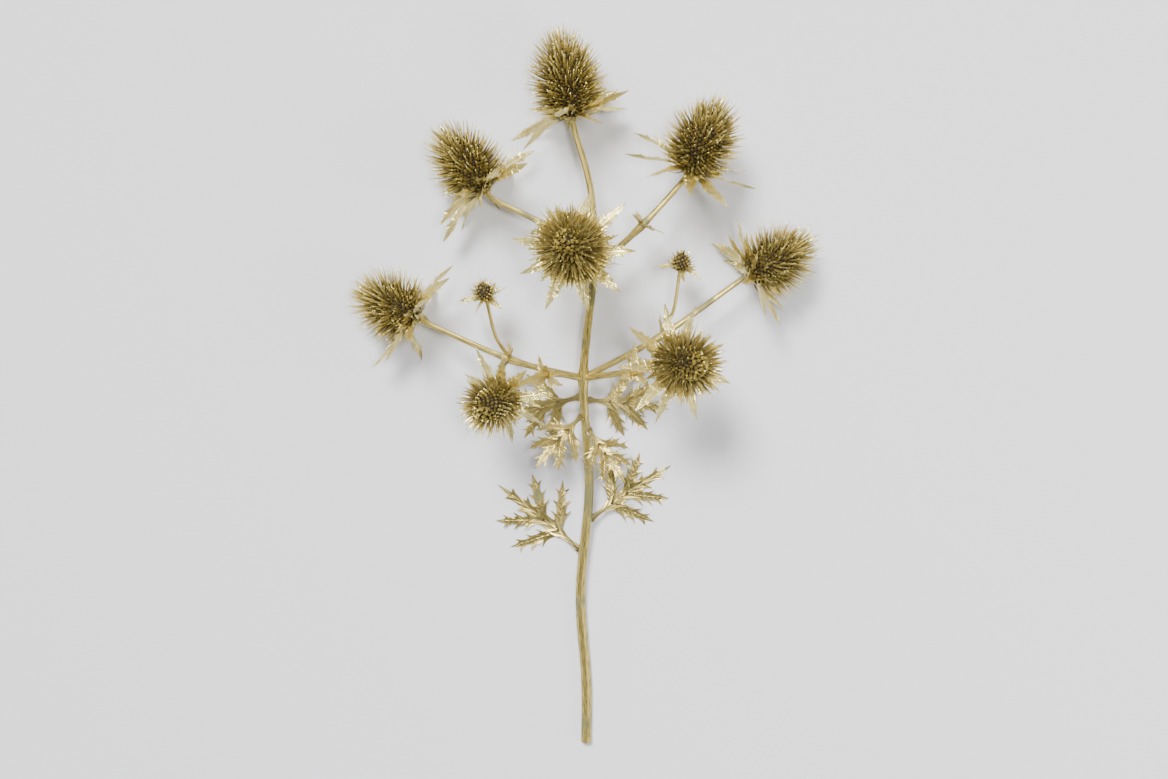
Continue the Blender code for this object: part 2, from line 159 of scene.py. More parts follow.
def new_finish(name):
    """A new material, the tree of its nodes, and its shader's inputs."""
    finish = bpy.data.materials.new(name)
    finish.use_nodes = True
    return finish, finish.node_tree, finish.node_tree.nodes["Principled BSDF"].inputs


def studio_walls():
    """Walls that are brightest where they meet the table, and dim towards the ceiling."""
    studio = bpy.data.worlds.new("studio")
    studio.use_nodes = True
    tree = studio.node_tree
    way = add_node(tree, "ShaderNodeTexCoord").outputs["Generated"]
    background = tree.nodes["Background"].inputs
    background["Color"].default_value = WALL_COLOUR
    glow = ramp(tree, separate(tree, way)["Z"], 0.0, CEILING_HEIGHT, WALL_LIGHT, CEILING_LIGHT)
    tree.links.new(glow, background["Strength"])
    return studio


def table_finish():
    """Smooth pale board, a little uneven in its gloss."""
    finish, tree, surface = new_finish("pale_table")
    surface["Base Color"].default_value = TABLE_COLOUR
    grain = speckle(tree, object_place(tree), TABLE_GRAIN, detail=4.0)
    rough = calc(tree, "MULTIPLY_ADD", grain, TABLE_UNEVENNESS, TABLE_ROUGHNESS)
    tree.links.new(rough, surface["Roughness"])
    return finish


middle = (cad_low + cad_high) / 2
camera_lens = bpy.data.cameras.new("studio_camera")
camera_lens.lens = LENS
camera = add_object("studio_camera", camera_lens)
view_from = Vector((0, math.sin(VIEW_TILT), math.cos(VIEW_TILT)))
camera.location = middle + VIEW_DISTANCE * view_from + Vector((0, VIEW_RISE, 0))
camera.rotation_euler = (-VIEW_TILT, 0, 0)
bpy.context.scene.camera = camera

for lamp_name, (lamp_place, lamp_size, lamp_power) in LAMPS.items():
    lamp_light = bpy.data.lights.new(lamp_name, "AREA")
    lamp_light.size = lamp_size
    lamp_light.energy = lamp_power
    lamp = add_object(lamp_name, lamp_light)
    lamp.location = middle + Vector(lamp_place)
    turn_lamp(lamp, lamp_place)
far_light = bpy.data.lights.new("far_lamp", "SUN")
far_light.energy = FAR_LAMP_LIGHT
far_light.angle = FAR_LAMP_SPREAD
turn_lamp(add_object("far_lamp", far_light), FAR_LAMP_FROM)
bpy.context.scene.world = studio_walls()

table_mesh = bpy.data.meshes.new("table")
table_edge = TABLE_SIZE / 2
table_corners = [(x * table_edge, y * table_edge, 0.0) for x, y in ((-1, -1), (1, -1), (1, 1), (-1, 1))]
table_mesh.from_pydata(table_corners, [], [(0, 1, 2, 3)])
table_mesh.materials.append(table_finish())
table = add_object("table", table_mesh)

# The gold: metallic paint sprayed on the dried plant from outside, thin in patches, where the grey
# green of the dried plant shows through. It is bright and pale on whatever stands out and brown deep
# between the spines, partly where the paint never reached and partly as painted light and shade.
PALE_GOLD = (1.0, 0.86, 0.33, 1.0)
WARM_GOLD = (0.62, 0.49, 0.16, 1.0)
# the brown of painted shade deep between the spines, partly also the unpainted plant
SHADE_AND_UNPAINTED_BROWN = (0.060, 0.038, 0.007, 1.0)
DRIED_GREEN = (0.22, 0.21, 0.09, 1.0)
FLAKE_SCALE = 4500.0
FLAKE_BAND = (0.3, 0.7)
FLAKE_TONES = (0.93, 1.06)
FLAKE_ROUGHNESS = (-0.05, 0.05)
FLAKE_HEIGHT = 0.0002
BARE_LEVEL = 0.72
BARE_LEVEL_DROP = 0.4
BARE_EDGE = 0.12
MOST_BARE = 0.85
# where the colour turns from the painted shade to gold, and from the darker gold deep down to the pale gold
# of what stands out
LIGHT_AND_REACH_BAND = (0.05, 0.62)
TIP_BAND = (0.35, 1.0)
DARKEST_SHADE = 0.62
SHADE_SPREAD = 0.75
PAINT_METAL = 0.90
BARE_METAL_LOSS = -0.6
BARE_ROUGHNESS = 0.2


def mix_colours(tree, share, first, second, blend_type="MIX"):
    """The first colour, with a share of the second."""
    sockets = {0: share, 6: first, 7: second}
    return add_node(tree, "ShaderNodeMix", sockets, data_type="RGBA", blend_type=blend_type).outputs[2]


def read_attribute(tree, name, output="Fac"):
    """The value that a piece's mesh keeps under a name."""
    return add_node(tree, "ShaderNodeAttribute", attribute_name=name).outputs[output]


def add_relief(tree, surface, height, strength, distance):
    """Gives a finish a fine relief, over any that it has."""
    sockets = {"Strength": strength, "Distance": distance, "Height": height}
    if surface["Normal"].is_linked:
        sockets["Normal"] = surface["Normal"].links[0].from_socket
    relief = add_node(tree, "ShaderNodeBump", sockets).outputs["Normal"]
    tree.links.new(relief, surface["Normal"])


def new_group(name, kind, inputs, outputs):
    """A node group, with the sockets that lead in and out of its nodes."""
    group = bpy.data.node_groups.new(name, kind)
    for label, (socket_kind, value) in inputs.items():
        socket = group.interface.new_socket(label, in_out="INPUT", socket_type=socket_kind)
        if value is not None:
            socket.default_value = value
    for label, socket_kind in outputs.items():
        group.interface.new_socket(label, in_out="OUTPUT", socket_type=socket_kind)
    return group, add_node(group, "NodeGroupInput").outputs, add_node(group, "NodeGroupOutput").inputs


def spray_group():
    """The sprayed gold: its colour, its share of metal, its roughness and the grain of its flakes."""
    inputs = {
        "Paint": ("NodeSocketColor", PALE_GOLD),
        "Root Paint": ("NodeSocketColor", WARM_GOLD),
        "Shade And Unpainted Colour": ("NodeSocketColor", SHADE_AND_UNPAINTED_BROWN),
        "Plant Colour": ("NodeSocketColor", DRIED_GREEN),
        "Exposure": ("NodeSocketFloat", 1.0),
        "Shade": ("NodeSocketFloat", 0.5),
        "Thinness": ("NodeSocketFloat", 0.3),
        "Patch Scale": ("NodeSocketFloat", 60.0),
        "Roughness": ("NodeSocketFloat", 0.38),
    }
    outputs = {
        "Colour": "NodeSocketColor",
        "Metal": "NodeSocketFloat",
        "Roughness": "NodeSocketFloat",
        "Grain": "NodeSocketFloat",
    }
    group, given, result = new_group("sprayed_gold", "ShaderNodeTree", inputs, outputs)
    place = object_place(group)
    patches = speckle(group, place, given["Patch Scale"], detail=4.0)
    flakes = speckle(group, place, FLAKE_SCALE)
    level_drop = calc(group, "MULTIPLY", given["Thinness"], BARE_LEVEL_DROP)
    lowest = calc(group, "SUBTRACT", BARE_LEVEL, level_drop)
    thin = ramp(group, patches, lowest, calc(group, "ADD", lowest, BARE_EDGE), 0.0, MOST_BARE)
    # Painted light and shade: deep among the parts, where the input value is low, the gold turns brown and
    # loses its metal, and where parts stand out it turns pale. On the stem the same input carries real
    # streaks of thinner paint.
    lit_and_reached = ramp(group, given["Exposure"], *LIGHT_AND_REACH_BAND)
    tips = ramp(group, given["Exposure"], *TIP_BAND)
    gold = mix_colours(group, tips, given["Root Paint"], given["Paint"])
    gold = mix_colours(group, thin, gold, given["Plant Colour"])
    gold = mix_colours(group, lit_and_reached, given["Shade And Unpainted Colour"], gold)
    tone = calc(group, "MULTIPLY_ADD", given["Shade"], SHADE_SPREAD, DARKEST_SHADE)
    tone = calc(group, "MULTIPLY", tone, ramp(group, flakes, *FLAKE_BAND, *FLAKE_TONES))
    tint = node_result(group, "ShaderNodeCombineColor", {0: tone, 1: tone, 2: tone})
    metal = calc(group, "MULTIPLY_ADD", thin, BARE_METAL_LOSS, PAINT_METAL)
    rough = calc(group, "ADD", given["Roughness"], calc(group, "MULTIPLY", thin, BARE_ROUGHNESS))
    made = {
        "Colour": mix_colours(group, 1.0, gold, tint, "MULTIPLY"),
        "Metal": calc(group, "MULTIPLY", lit_and_reached, metal),
        "Roughness": calc(group, "ADD", rough, ramp(group, flakes, *FLAKE_BAND, *FLAKE_ROUGHNESS)),
        "Grain": flakes,
    }
    for label, socket in made.items():
        group.links.new(socket, result[label])
    return group


SPRAYED_GOLD = spray_group()


def sprayed_finish(name, values, grain=0.15, attributes=()):
    """A finish in the sprayed gold, and the inputs of its spray, some of which may follow attributes."""
    finish, tree, surface = new_finish(name)
    sockets = dict(values)
    for label, attribute in dict(attributes).items():
        sockets[label] = read_attribute(tree, attribute)
    spray = add_node(tree, "ShaderNodeGroup", sockets, node_tree=SPRAYED_GOLD)
    for label, target in {"Colour": "Base Color", "Metal": "Metallic", "Roughness": "Roughness"}.items():
        tree.links.new(spray.outputs[label], surface[target])
    add_relief(tree, surface, spray.outputs["Grain"], grain, FLAKE_HEIGHT)
    return finish, spray.inputs


# The stem and its branches: a stiff stem that forks twice, finely ribbed along its length, swollen at
# its joints and thinner towards the heads. It was cut square at its foot, and lies with that end on
# the table.
MILLIMETRE = 0.001
PLANT_SHIFT = Vector((1.5, -250.5, 0.0))
TO_FRAME = Matrix.Scale(MILLIMETRE, 4) @ Matrix.Translation(PLANT_SHIFT)
UP = Vector((0, 0, 1))
SEAT_GAP = 0.3
LEAST_HEIGHT = 0.05
STEM_CUT_RADIUS = 3.4
STEM_TOP_RADIUS = 1.9
STEM_TAPER_POWER = 1.5
# the solid stem lies on one of its ten sides
SOLID_STEM_SIDES = 10
STEM_LIE = STEM_CUT_RADIUS * math.cos(math.pi / SOLID_STEM_SIDES)
LOWER_FORK = (-2.0, 262.0, 21.0)
UPPER_FORK = (5.0, 336.0, 29.0)
FORKS = {"lower": LOWER_FORK, "upper": UPPER_FORK}
STEM_ROUTE = (
    (0.0, 0.0, STEM_LIE),
    (0.0, 45.0, STEM_LIE),
    (-4.0, 110.0, 6.0),
    (2.0, 185.0, 12.0),
    LOWER_FORK,
    UPPER_FORK,
    (3.0, 388.0, 31.0),
)
JOINT_SWELL = 0.45
JOINT_SWELL_LENGTH = 6.0
BRANCH_RADIUS = 2.1
BRANCH_TIP_RADIUS = 1.5
HEAD_FOOT = 8.0
BUD_BRANCH_RADIUS = 1.15
BUD_FOOT = 4.0
STEM_STEPS = 9
STEM_RIBS = 9
RIB_POINTS = 4
RIB_DEPTH = 0.07
FIBRE_SCALE = 7.0
FIBRE_STRETCH = 0.018
STREAK_BAND = (0.32, 0.62)
STREAK_PAINT = (0.28, 1.0)

# A head grows from a fork, and a bud from a head's branch, by way of one point to its seat. Its other
# values are the way it points, its cone's length and radius, and the reach of its ruff.
Head = namedtuple("Head", "fork way seat axis length radius reach")
HEADS = {
    "head_top": Head("stem", (3, 388, 31), (-9, 436, 29), (-0.16, 1.0, 0.02), 49, 12.2, 42),
    "head_left_upper": Head("upper", (-24, 364, 34), (-66, 389, 28.5), (-0.62, 0.80, 0.02), 42, 11.6, 41),
    "head_right_upper": Head("upper", (36, 366, 42), (66, 402, 43), (0.42, 0.88, 0.28), 44, 11.8, 41),
    "head_left_lower": Head("lower", (-50, 276, 32), (-112, 303, 28.0), (-0.90, 0.44, 0.0), 39, 11.5, 39),
    "head_right_lower": Head("lower", (50, 292, 31), (108, 332, 28.5), (0.88, 0.50, 0.02), 41, 11.5, 40),
    "head_front_upper": Head("upper", (-2, 343, 52), (-7, 352, 80), (-0.16, 0.30, 0.94), 38, 12.0, 42),
    "head_front_right": Head("lower", (30, 270, 44), (56, 279, 74), (0.48, 0.12, 0.87), 34, 11.2, 39),
    "head_front_left": Head("lower", (-26, 268, 42), (-54, 258, 66), (-0.50, -0.30, 0.81), 29, 9.8, 34),
}
BUDS = {
    "bud_left": Head("head_left_lower", (-60, 292, 37), (-66, 318, 44), (-0.2, 0.85, 0.45), 12, 5.2, 16),
    "bud_right": Head("head_right_lower", (58, 310, 35), (62, 336, 36), (0.16, 0.95, 0.1), 12, 5.2, 16),
}


def smooth_route(points, steps):
    """A Catmull-Rom curve through the points, with this many steps in each span."""
    points = [Vector(point) for point in points]
    padded = [2 * points[0] - points[1], *points, 2 * points[-1] - points[-2]]
    route = [points[0]]
    for before, start, end, after in zip(padded, padded[1:], padded[2:], padded[3:]):
        for step in range(1, steps + 1):
            share = step / steps
            bent = (2 * before - 5 * start + 4 * end - after) * share**2
            bent += (3 * start - before - 3 * end + after) * share**3
            route.append(0.5 * (2 * start + (end - before) * share + bent))
    return route


def route_to_seat(points, head, foot):
    """The way of a stem through its points to the seat of its head, which it meets square on."""
    seat = Vector(head.seat)
    return smooth_route([*points, seat - Vector(head.axis).normalized() * foot, seat], STEM_STEPS)


def swelling(distance):
    """How much thicker a stem is at a distance from one of its joints."""
    return 1 + JOINT_SWELL * math.exp(-((distance / JOINT_SWELL_LENGTH) ** 2))


def stem_radius(point):
    """The main stem's radius where it passes a point, thicker at its joints."""
    share = point.y / HEADS["head_top"].seat[1]
    radius = STEM_CUT_RADIUS
    if point.y > STEM_ROUTE[1][1]:
        radius += (STEM_TOP_RADIUS - STEM_CUT_RADIUS) * share**STEM_TAPER_POWER
    for fork in FORKS.values():
        radius *= swelling(point.y - fork[1])
    return radius


def stem_routes():
    """Each stem's points and radii: the main stem, the branch of each head, and those of the buds."""
    main = route_to_seat(STEM_ROUTE, HEADS["head_top"], HEAD_FOOT)
    main = [Vector((point.x, point.y, max(point.z, STEM_LIE))) for point in main]
    routes = [(main, [stem_radius(point) for point in main])]
    for head in HEADS.values():
        if head.fork in FORKS:
            path = route_to_seat([FORKS[head.fork], head.way], head, HEAD_FOOT)
            radii = []
            for i, point in enumerate(path):
                taper = BRANCH_RADIUS + (BRANCH_TIP_RADIUS - BRANCH_RADIUS) * i / (len(path) - 1)
                radii.append(taper * swelling((point - Vector(head.way)).length))
            routes.append((path, radii))
    for bud in BUDS.values():
        path = route_to_seat([HEADS[bud.fork].way, bud.way], bud, BUD_FOOT)
        routes.append((path, [BUD_BRANCH_RADIUS] * len(path)))
    return routes


def grow(piece, tree, values):
    """Turns a piece into the plain mesh that a tree of geometry nodes makes from it."""
    modifier = piece.modifiers.new("grow", "NODES")
    modifier.node_group = tree
    for item in tree.interface.items_tree:
        if item.in_out == "INPUT" and item.name in values:
            modifier[item.identifier] = values[item.name]
    graph = bpy.context.evaluated_depsgraph_get()
    grown = bpy.data.meshes.new_from_object(piece.evaluated_get(graph))
    piece.modifiers.remove(modifier)
    piece.data = grown


def keep_above_table(mesh):
    """Flattens what would sink into the table, while the mesh is still in the plant's frame."""
    for vertex in mesh.vertices:
        vertex.co.z = max(vertex.co.z, LEAST_HEIGHT)


def attach(piece, node):
    """Lets a finished piece stand for a solid of the frame."""
    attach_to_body(piece, "root")
    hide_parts(node)


def combine(tree, **parts):
    """The vector of an X, a Y and a Z."""
    return node_result(tree, "ShaderNodeCombineXYZ", parts)


def vector_calc(tree, operation, inputs):
    """The result of a sum on vectors."""
    return node_result(tree, "ShaderNodeVectorMath", inputs, operation=operation)


def keep_value(tree, geometry, name, value, **settings):
    """Geometry that keeps a value under a name."""
    sockets = {"Geometry": geometry, "Name": name, "Value": value}
    return node_result(tree, "GeometryNodeStoreNamedAttribute", sockets, **settings)


def move_points(tree, geometry, place):
    """Geometry whose points are moved to a place."""
    return node_result(tree, "GeometryNodeSetPosition", {"Geometry": geometry, "Position": place})


def real_copies(tree, instances, finish):
    """Instances made real, in their finish."""
    real = node_result(tree, "GeometryNodeRealizeInstances", {0: instances})
    return node_result(tree, "GeometryNodeSetMaterial", {"Geometry": real, "Material": finish})


def stem_lines():
    """The middle lines of all stems, as edges whose points keep the stem's radius."""
    mesh = bpy.data.meshes.new("stem_lines")
    points, edges, radii = [], [], []
    for path, path_radii in stem_routes():
        first = len(points)
        points += path
        radii += path_radii
        edges += [(first + i, first + i + 1) for i in range(len(path) - 1)]
    mesh.from_pydata(points, edges, [])
    mesh.attributes.new("stem_radius", "FLOAT", "POINT").data.foreach_set("value", radii)
    return mesh


def ribbed_stem_tree():
    """Sweeps a ribbed outline along each line, at the radius that its points keep."""
    inputs = {
        "Lines": ("NodeSocketGeometry", None),
        "Ribs": ("NodeSocketInt", STEM_RIBS),
        "Rib Depth": ("NodeSocketFloat", RIB_DEPTH),
        "Finish": ("NodeSocketMaterial", None),
    }
    outputs = {"Stems": "NodeSocketGeometry"}
    tree, given, result = new_group("ribbed_stem", "GeometryNodeTree", inputs, outputs)
    corners = calc(tree, "MULTIPLY", given["Ribs"], float(RIB_POINTS))
    outline = node_result(tree, "GeometryNodeCurvePrimitiveCircle", {"Resolution": corners, "Radius": 1.0})
    place = node_result(tree, "GeometryNodeInputPosition")
    across = separate(tree, place)
    angle = calc(tree, "ARCTAN2", across["Y"], across["X"])
    wave = calc(tree, "COSINE", calc(tree, "MULTIPLY", angle, given["Ribs"]))
    scale = calc(tree, "MULTIPLY_ADD", wave, given["Rib Depth"], 1.0)
    outline = keep_value(tree, outline, "around", place, data_type="FLOAT_VECTOR")
    outline = move_points(tree, outline, vector_calc(tree, "SCALE", {0: place, "Scale": scale}))
    lines = node_result(tree, "GeometryNodeMeshToCurve", {"Mesh": given["Lines"]})
    length = add_node(tree, "GeometryNodeSplineParameter").outputs["Length"]
    lines = keep_value(tree, lines, "along", length)
    radius = node_result(tree, "GeometryNodeInputNamedAttribute", {"Name": "stem_radius"})
    sockets = {"Curve": lines, "Profile Curve": outline, "Scale": radius, "Fill Caps": True}
    stems = node_result(tree, "GeometryNodeCurveToMesh", sockets)
    tree.links.new(real_copies(tree, stems, given["Finish"]), result["Stems"])
    return tree


def stem_finish():
    """Gold over a ribbed stem, thinner and browner in streaks that run along it."""
    values = {
        "Paint": (0.66, 0.53, 0.16, 1.0),
        "Root Paint": (0.32, 0.24, 0.06, 1.0),
        "Shade And Unpainted Colour": (0.085, 0.062, 0.018, 1.0),
        "Plant Colour": (0.17, 0.165, 0.065, 1.0),
        "Thinness": 0.48,
        "Patch Scale": 45.0,
        "Roughness": 0.40,
    }
    finish, spray = sprayed_finish("gold_on_stem", values, grain=0.25)
    tree = finish.node_tree
    around = read_attribute(tree, "around", "Vector")
    along = combine(tree, Z=calc(tree, "MULTIPLY", read_attribute(tree, "along"), FIBRE_STRETCH))
    fibre = vector_calc(tree, "ADD", {0: around, 1: along})
    streaks = ramp(tree, speckle(tree, fibre, FIBRE_SCALE, detail=4.0), *STREAK_BAND, *STREAK_PAINT)
    tree.links.new(streaks, spray["Exposure"])
    return finish


stems = add_object("ribbed_stems", stem_lines())
grow(stems, ribbed_stem_tree(), {"Ribs": STEM_RIBS, "Rib Depth": RIB_DEPTH, "Finish": stem_finish()})
keep_above_table(stems.data)
stems.data.transform(TO_FRAME)
attach(stems, "stem")

# The cut end: a slightly sunken disc of pale, soft pith inside a brown woody rind. The gold was sprayed
# after the cut, and only a little of it reached this face.
PITH_RADIUS = 3.05
PITH_WAVE = 0.03
PITH_WAVES = 3
PITH_PROUD = 0.12
PITH_SUNK = 0.5
PITH_DEPTH = 1.0
PITH_RINGS = 9
PITH_SIDES = 36
DARK_STRAW = (0.42, 0.33, 0.15, 1.0)
PALE_STRAW = (0.66, 0.57, 0.32, 1.0)
DARK_RIND = (0.12, 0.075, 0.025, 1.0)
PALE_RIND = (0.40, 0.29, 0.11, 1.0)
PORE_SCALE = 5200.0
PORE_BAND = (0.35, 0.6)
PORE_STRENGTH = 0.5
PORE_HEIGHT = 0.0002
BUNDLE_SCALE = 1500.0
BUNDLE_BAND = (0.45, 0.6)
RIND_BAND = (0.60, 0.74)
RIND_WAVER_BAND = (0.3, 0.7)
RIND_WAVER = (-0.06, 0.06)
PITH_ROUGHNESS = 0.85


def add_point(shape, place, layer, value):
    """A new point of a shape, which keeps a value."""
    vert = shape.verts.new(place)
    vert[layer] = value
    return vert


def join_rings(shape, rings):
    """Faces between each ring of points and the next."""
    for ring, ahead in zip(rings, rings[1:]):
        for k in range(len(ring)):
            m = (k + 1) % len(ring)
            shape.faces.new((ring[k], ring[m], ahead[m], ahead[k]))


def made_mesh(name, shape):
    """The mesh of a closed shape, with its faces turned outwards."""
    bmesh.ops.recalc_face_normals(shape, faces=shape.faces)
    mesh = bpy.data.meshes.new(name)
    shape.to_mesh(mesh)
    shape.free()
    return mesh


def pith_mesh():
    """A thin closed disc that faces the cut end, with its middle sunk. It keeps how far out it is."""
    shape = bmesh.new()
    from_middle = shape.verts.layers.float.new("from_middle")
    rings = []
    for k in range(1, PITH_RINGS + 1):
        share = k / PITH_RINGS
        depth = -PITH_PROUD + PITH_SUNK * PITH_PROUD * math.cos(math.pi * share)
        ring = []
        for j in range(PITH_SIDES):
            angle = 2 * math.pi * j / PITH_SIDES
            radius = PITH_RADIUS * share * (1 + PITH_WAVE * math.sin(PITH_WAVES * angle))
            place = (radius * math.cos(angle), depth, STEM_LIE + radius * math.sin(angle))
            ring.append(add_point(shape, place, from_middle, share))
        rings.append(ring)
    rings.append([shape.verts.new(vert.co + Vector((0, PITH_DEPTH, 0))) for vert in rings[-1]])
    join_rings(shape, rings)
    shape.faces.new(rings[0])
    shape.faces.new(rings[-1])
    return made_mesh("pith", shape)


def pith_finish():
    """Straw-coloured pith with fine pores, inside a brown rind with darker bundles."""
    finish, tree, surface = new_finish("pith")
    place = object_place(tree)
    pores = speckle(tree, place, PORE_SCALE, detail=3.0)
    bundles = speckle(tree, place, BUNDLE_SCALE)
    straw = mix_colours(tree, ramp(tree, pores, *PORE_BAND), DARK_STRAW, PALE_STRAW)
    rind = mix_colours(tree, ramp(tree, bundles, *BUNDLE_BAND), DARK_RIND, PALE_RIND)
    waver = ramp(tree, bundles, *RIND_WAVER_BAND, *RIND_WAVER)
    edge = calc(tree, "ADD", read_attribute(tree, "from_middle"), waver)
    tree.links.new(mix_colours(tree, ramp(tree, edge, *RIND_BAND), straw, rind), surface["Base Color"])
    surface["Roughness"].default_value = PITH_ROUGHNESS
    add_relief(tree, surface, pores, PORE_STRENGTH, PORE_HEIGHT)
    return finish


pith = add_object("stem_pith", pith_mesh())
pith.data.materials.append(pith_finish())
pith.data.transform(TO_FRAME)
attach(pith, "stem")

# The cut bracts at the joints: stiff, leafy, deeply toothed and spine-tipped, they clasp the stem
# where it forks and where each branch bends. They are thin blades with a raised rib below and a shallow
# crease above, a little crumpled from drying.
BLADE_STEPS = 26
# a blade that meets the table more steeply than this turns to its fallback way
LEAST_LEVEL = 0.3
# places across a blade, from rim to rim, and the U of each corner of its cross-section
BLADE_ACROSS = (-1.0, -0.55, 0.0, 0.55, 1.0)
BLADE_U = (0.0, 0.22, 0.5, 0.78, 1.0, 0.78, 0.5, 0.22)
BLADE_RIMS = (0, 4)
BLADE_FOOT = 0.10
BLADE_NECK = 0.96
BLADE_THINNING = 0.6
BLADE_CREASE = 0.25
BLADE_TIP = 0.1
PLAIN_BLADE_STEPS = 8
ROOT_FULLNESS = 0.42
TIP_POWER = 2.4
TIP_EASE = 0.9
# share of a tooth's pitch, and share of its reach
TOOTH_BACK = (0.34, 0.22)
TOOTH_POINT = 0.52
TOOTH_END = (0.66, 0.1)
TOOTH_LEAD = 0.95
TOOTH_TAPER = 0.35
CRUMPLE_ALONG = 7.0
CRUMPLE_ACROSS = 1.7
CRUMPLE_WIDTH = 3.0
BLADE_PATCHES = 110.0
RIB_BAND = (0.0, 0.07)
VEIN_HEIGHT = 0.35
RELIEF_BAND = (0.2, 1.0)
# painted light and shade on the blades: vein grooves and the foot darker, the rims paler
RELIEF_SHADE = (0.72, 1.0)
RELIEF_STRENGTH = 0.55
RELIEF_HEIGHT = 0.0004
RIM_BAND = (0.3, 0.5)
RIM_LIGHT = 0.35
FOOT_BAND = (0.0, 0.35)
FOOT_SHADE = 0.35
BRACT_LENGTH = 24.0
BRACT_AT_BEND = 0.8
BRACT_HALF_WIDTH = 2.9
BRACT_TOOTH = 1.8
BRACT_ROOT = 0.8
BRACT_SHUFFLE = 0.1
BRACT_RISE = (0.3, 0.8)
BRACT_BEND = (0.2, 0.7)
BRACT_REACH = (0.7, 1.05)
BRACT_FLOOR = 0.3
# radians of spread from the middle lobe, share of its length
BRACT_LOBES = ((0.0, 1.0), (-0.62, 0.62), (0.62, 0.62))
BRACT_LOBE_TWIST = 0.8
BRACTS_AT_FORK = 4
BRACTS_AT_BEND = 3


def turn_to(axis):
    """The turn that takes +Z to axis."""
    return Vector(axis).normalized().to_track_quat("Z", "Y").to_matrix()


def level_way(angle):
    """The direction at an angle round +Z, square to it."""
    return Vector((math.cos(angle), math.sin(angle), 0.0))


def march(start, direction, length, bend, floor, fallback):
    """A line that leaves start, curves by bend over its length, and slides along the surface it meets."""
    route = [start.copy()]
    heading = direction.normalized()
    step = length / BLADE_STEPS
    for _ in range(BLADE_STEPS):
        heading = (heading + bend / BLADE_STEPS).normalized()
        ahead = route[-1] + heading * step
        if ahead.z < floor:
            level = Vector((heading.x, heading.y, 0.0))
            if level.length < LEAST_LEVEL:
                level = level + fallback
            heading = level.normalized()
            ahead = route[-1] + heading * step
            ahead.z = floor
        route.append(ahead)
    return route


def point_on(route, share):
    """The point and the direction at a share of a route of equal steps."""
    place = min(max(share, 0.0), 1.0) * (len(route) - 1)
    i = min(int(place), len(route) - 2)
    step = route[i + 1] - route[i]
    return route[i] + step * (place - i), step.normalized()


def blade_width(share, belly):
    """How full a blade is at a share of its length: narrow at its root, and drawn out to a spine."""
    swell = math.sin(math.pi * min(share / (2 * belly), 0.5))
    return (ROOT_FULLNESS + (1 - ROOT_FULLNESS) * swell) * (1 - share**TIP_POWER) ** TIP_EASE


def plain_outline(half_width, belly):
    """Share of the length, half width and forward lead of each cross-section of a blade with no teeth."""
    shares = [k / PLAIN_BLADE_STEPS for k in range(PLAIN_BLADE_STEPS)]
    return [(share, half_width * blade_width(share, belly), 0.0) for share in shares]


def toothed_outline(half_width, teeth, tooth, first, last, belly):
    """Share of the length, half width and forward lead of each cross-section of a toothed blade."""
    points = [(0.0, 0.0), (BLADE_FOOT, 0.0)]
    pitch = (last - first) / teeth
    for k in range(teeth):
        at = first + k * pitch
        reach = tooth * (1.0 - TOOTH_TAPER * k / teeth)
        points += [
            (at, 0.0),
            (at + TOOTH_BACK[0] * pitch, TOOTH_BACK[1] * reach),
            (at + TOOTH_POINT * pitch, reach),
            (at + TOOTH_END[0] * pitch, TOOTH_END[1]),
        ]
    points += [(last, 0.0), ((1 + last) / 2, 0.0), (BLADE_NECK, 0.0)]
    return [(share, half_width * blade_width(share, belly) + out, TOOTH_LEAD * out) for share, out in points]

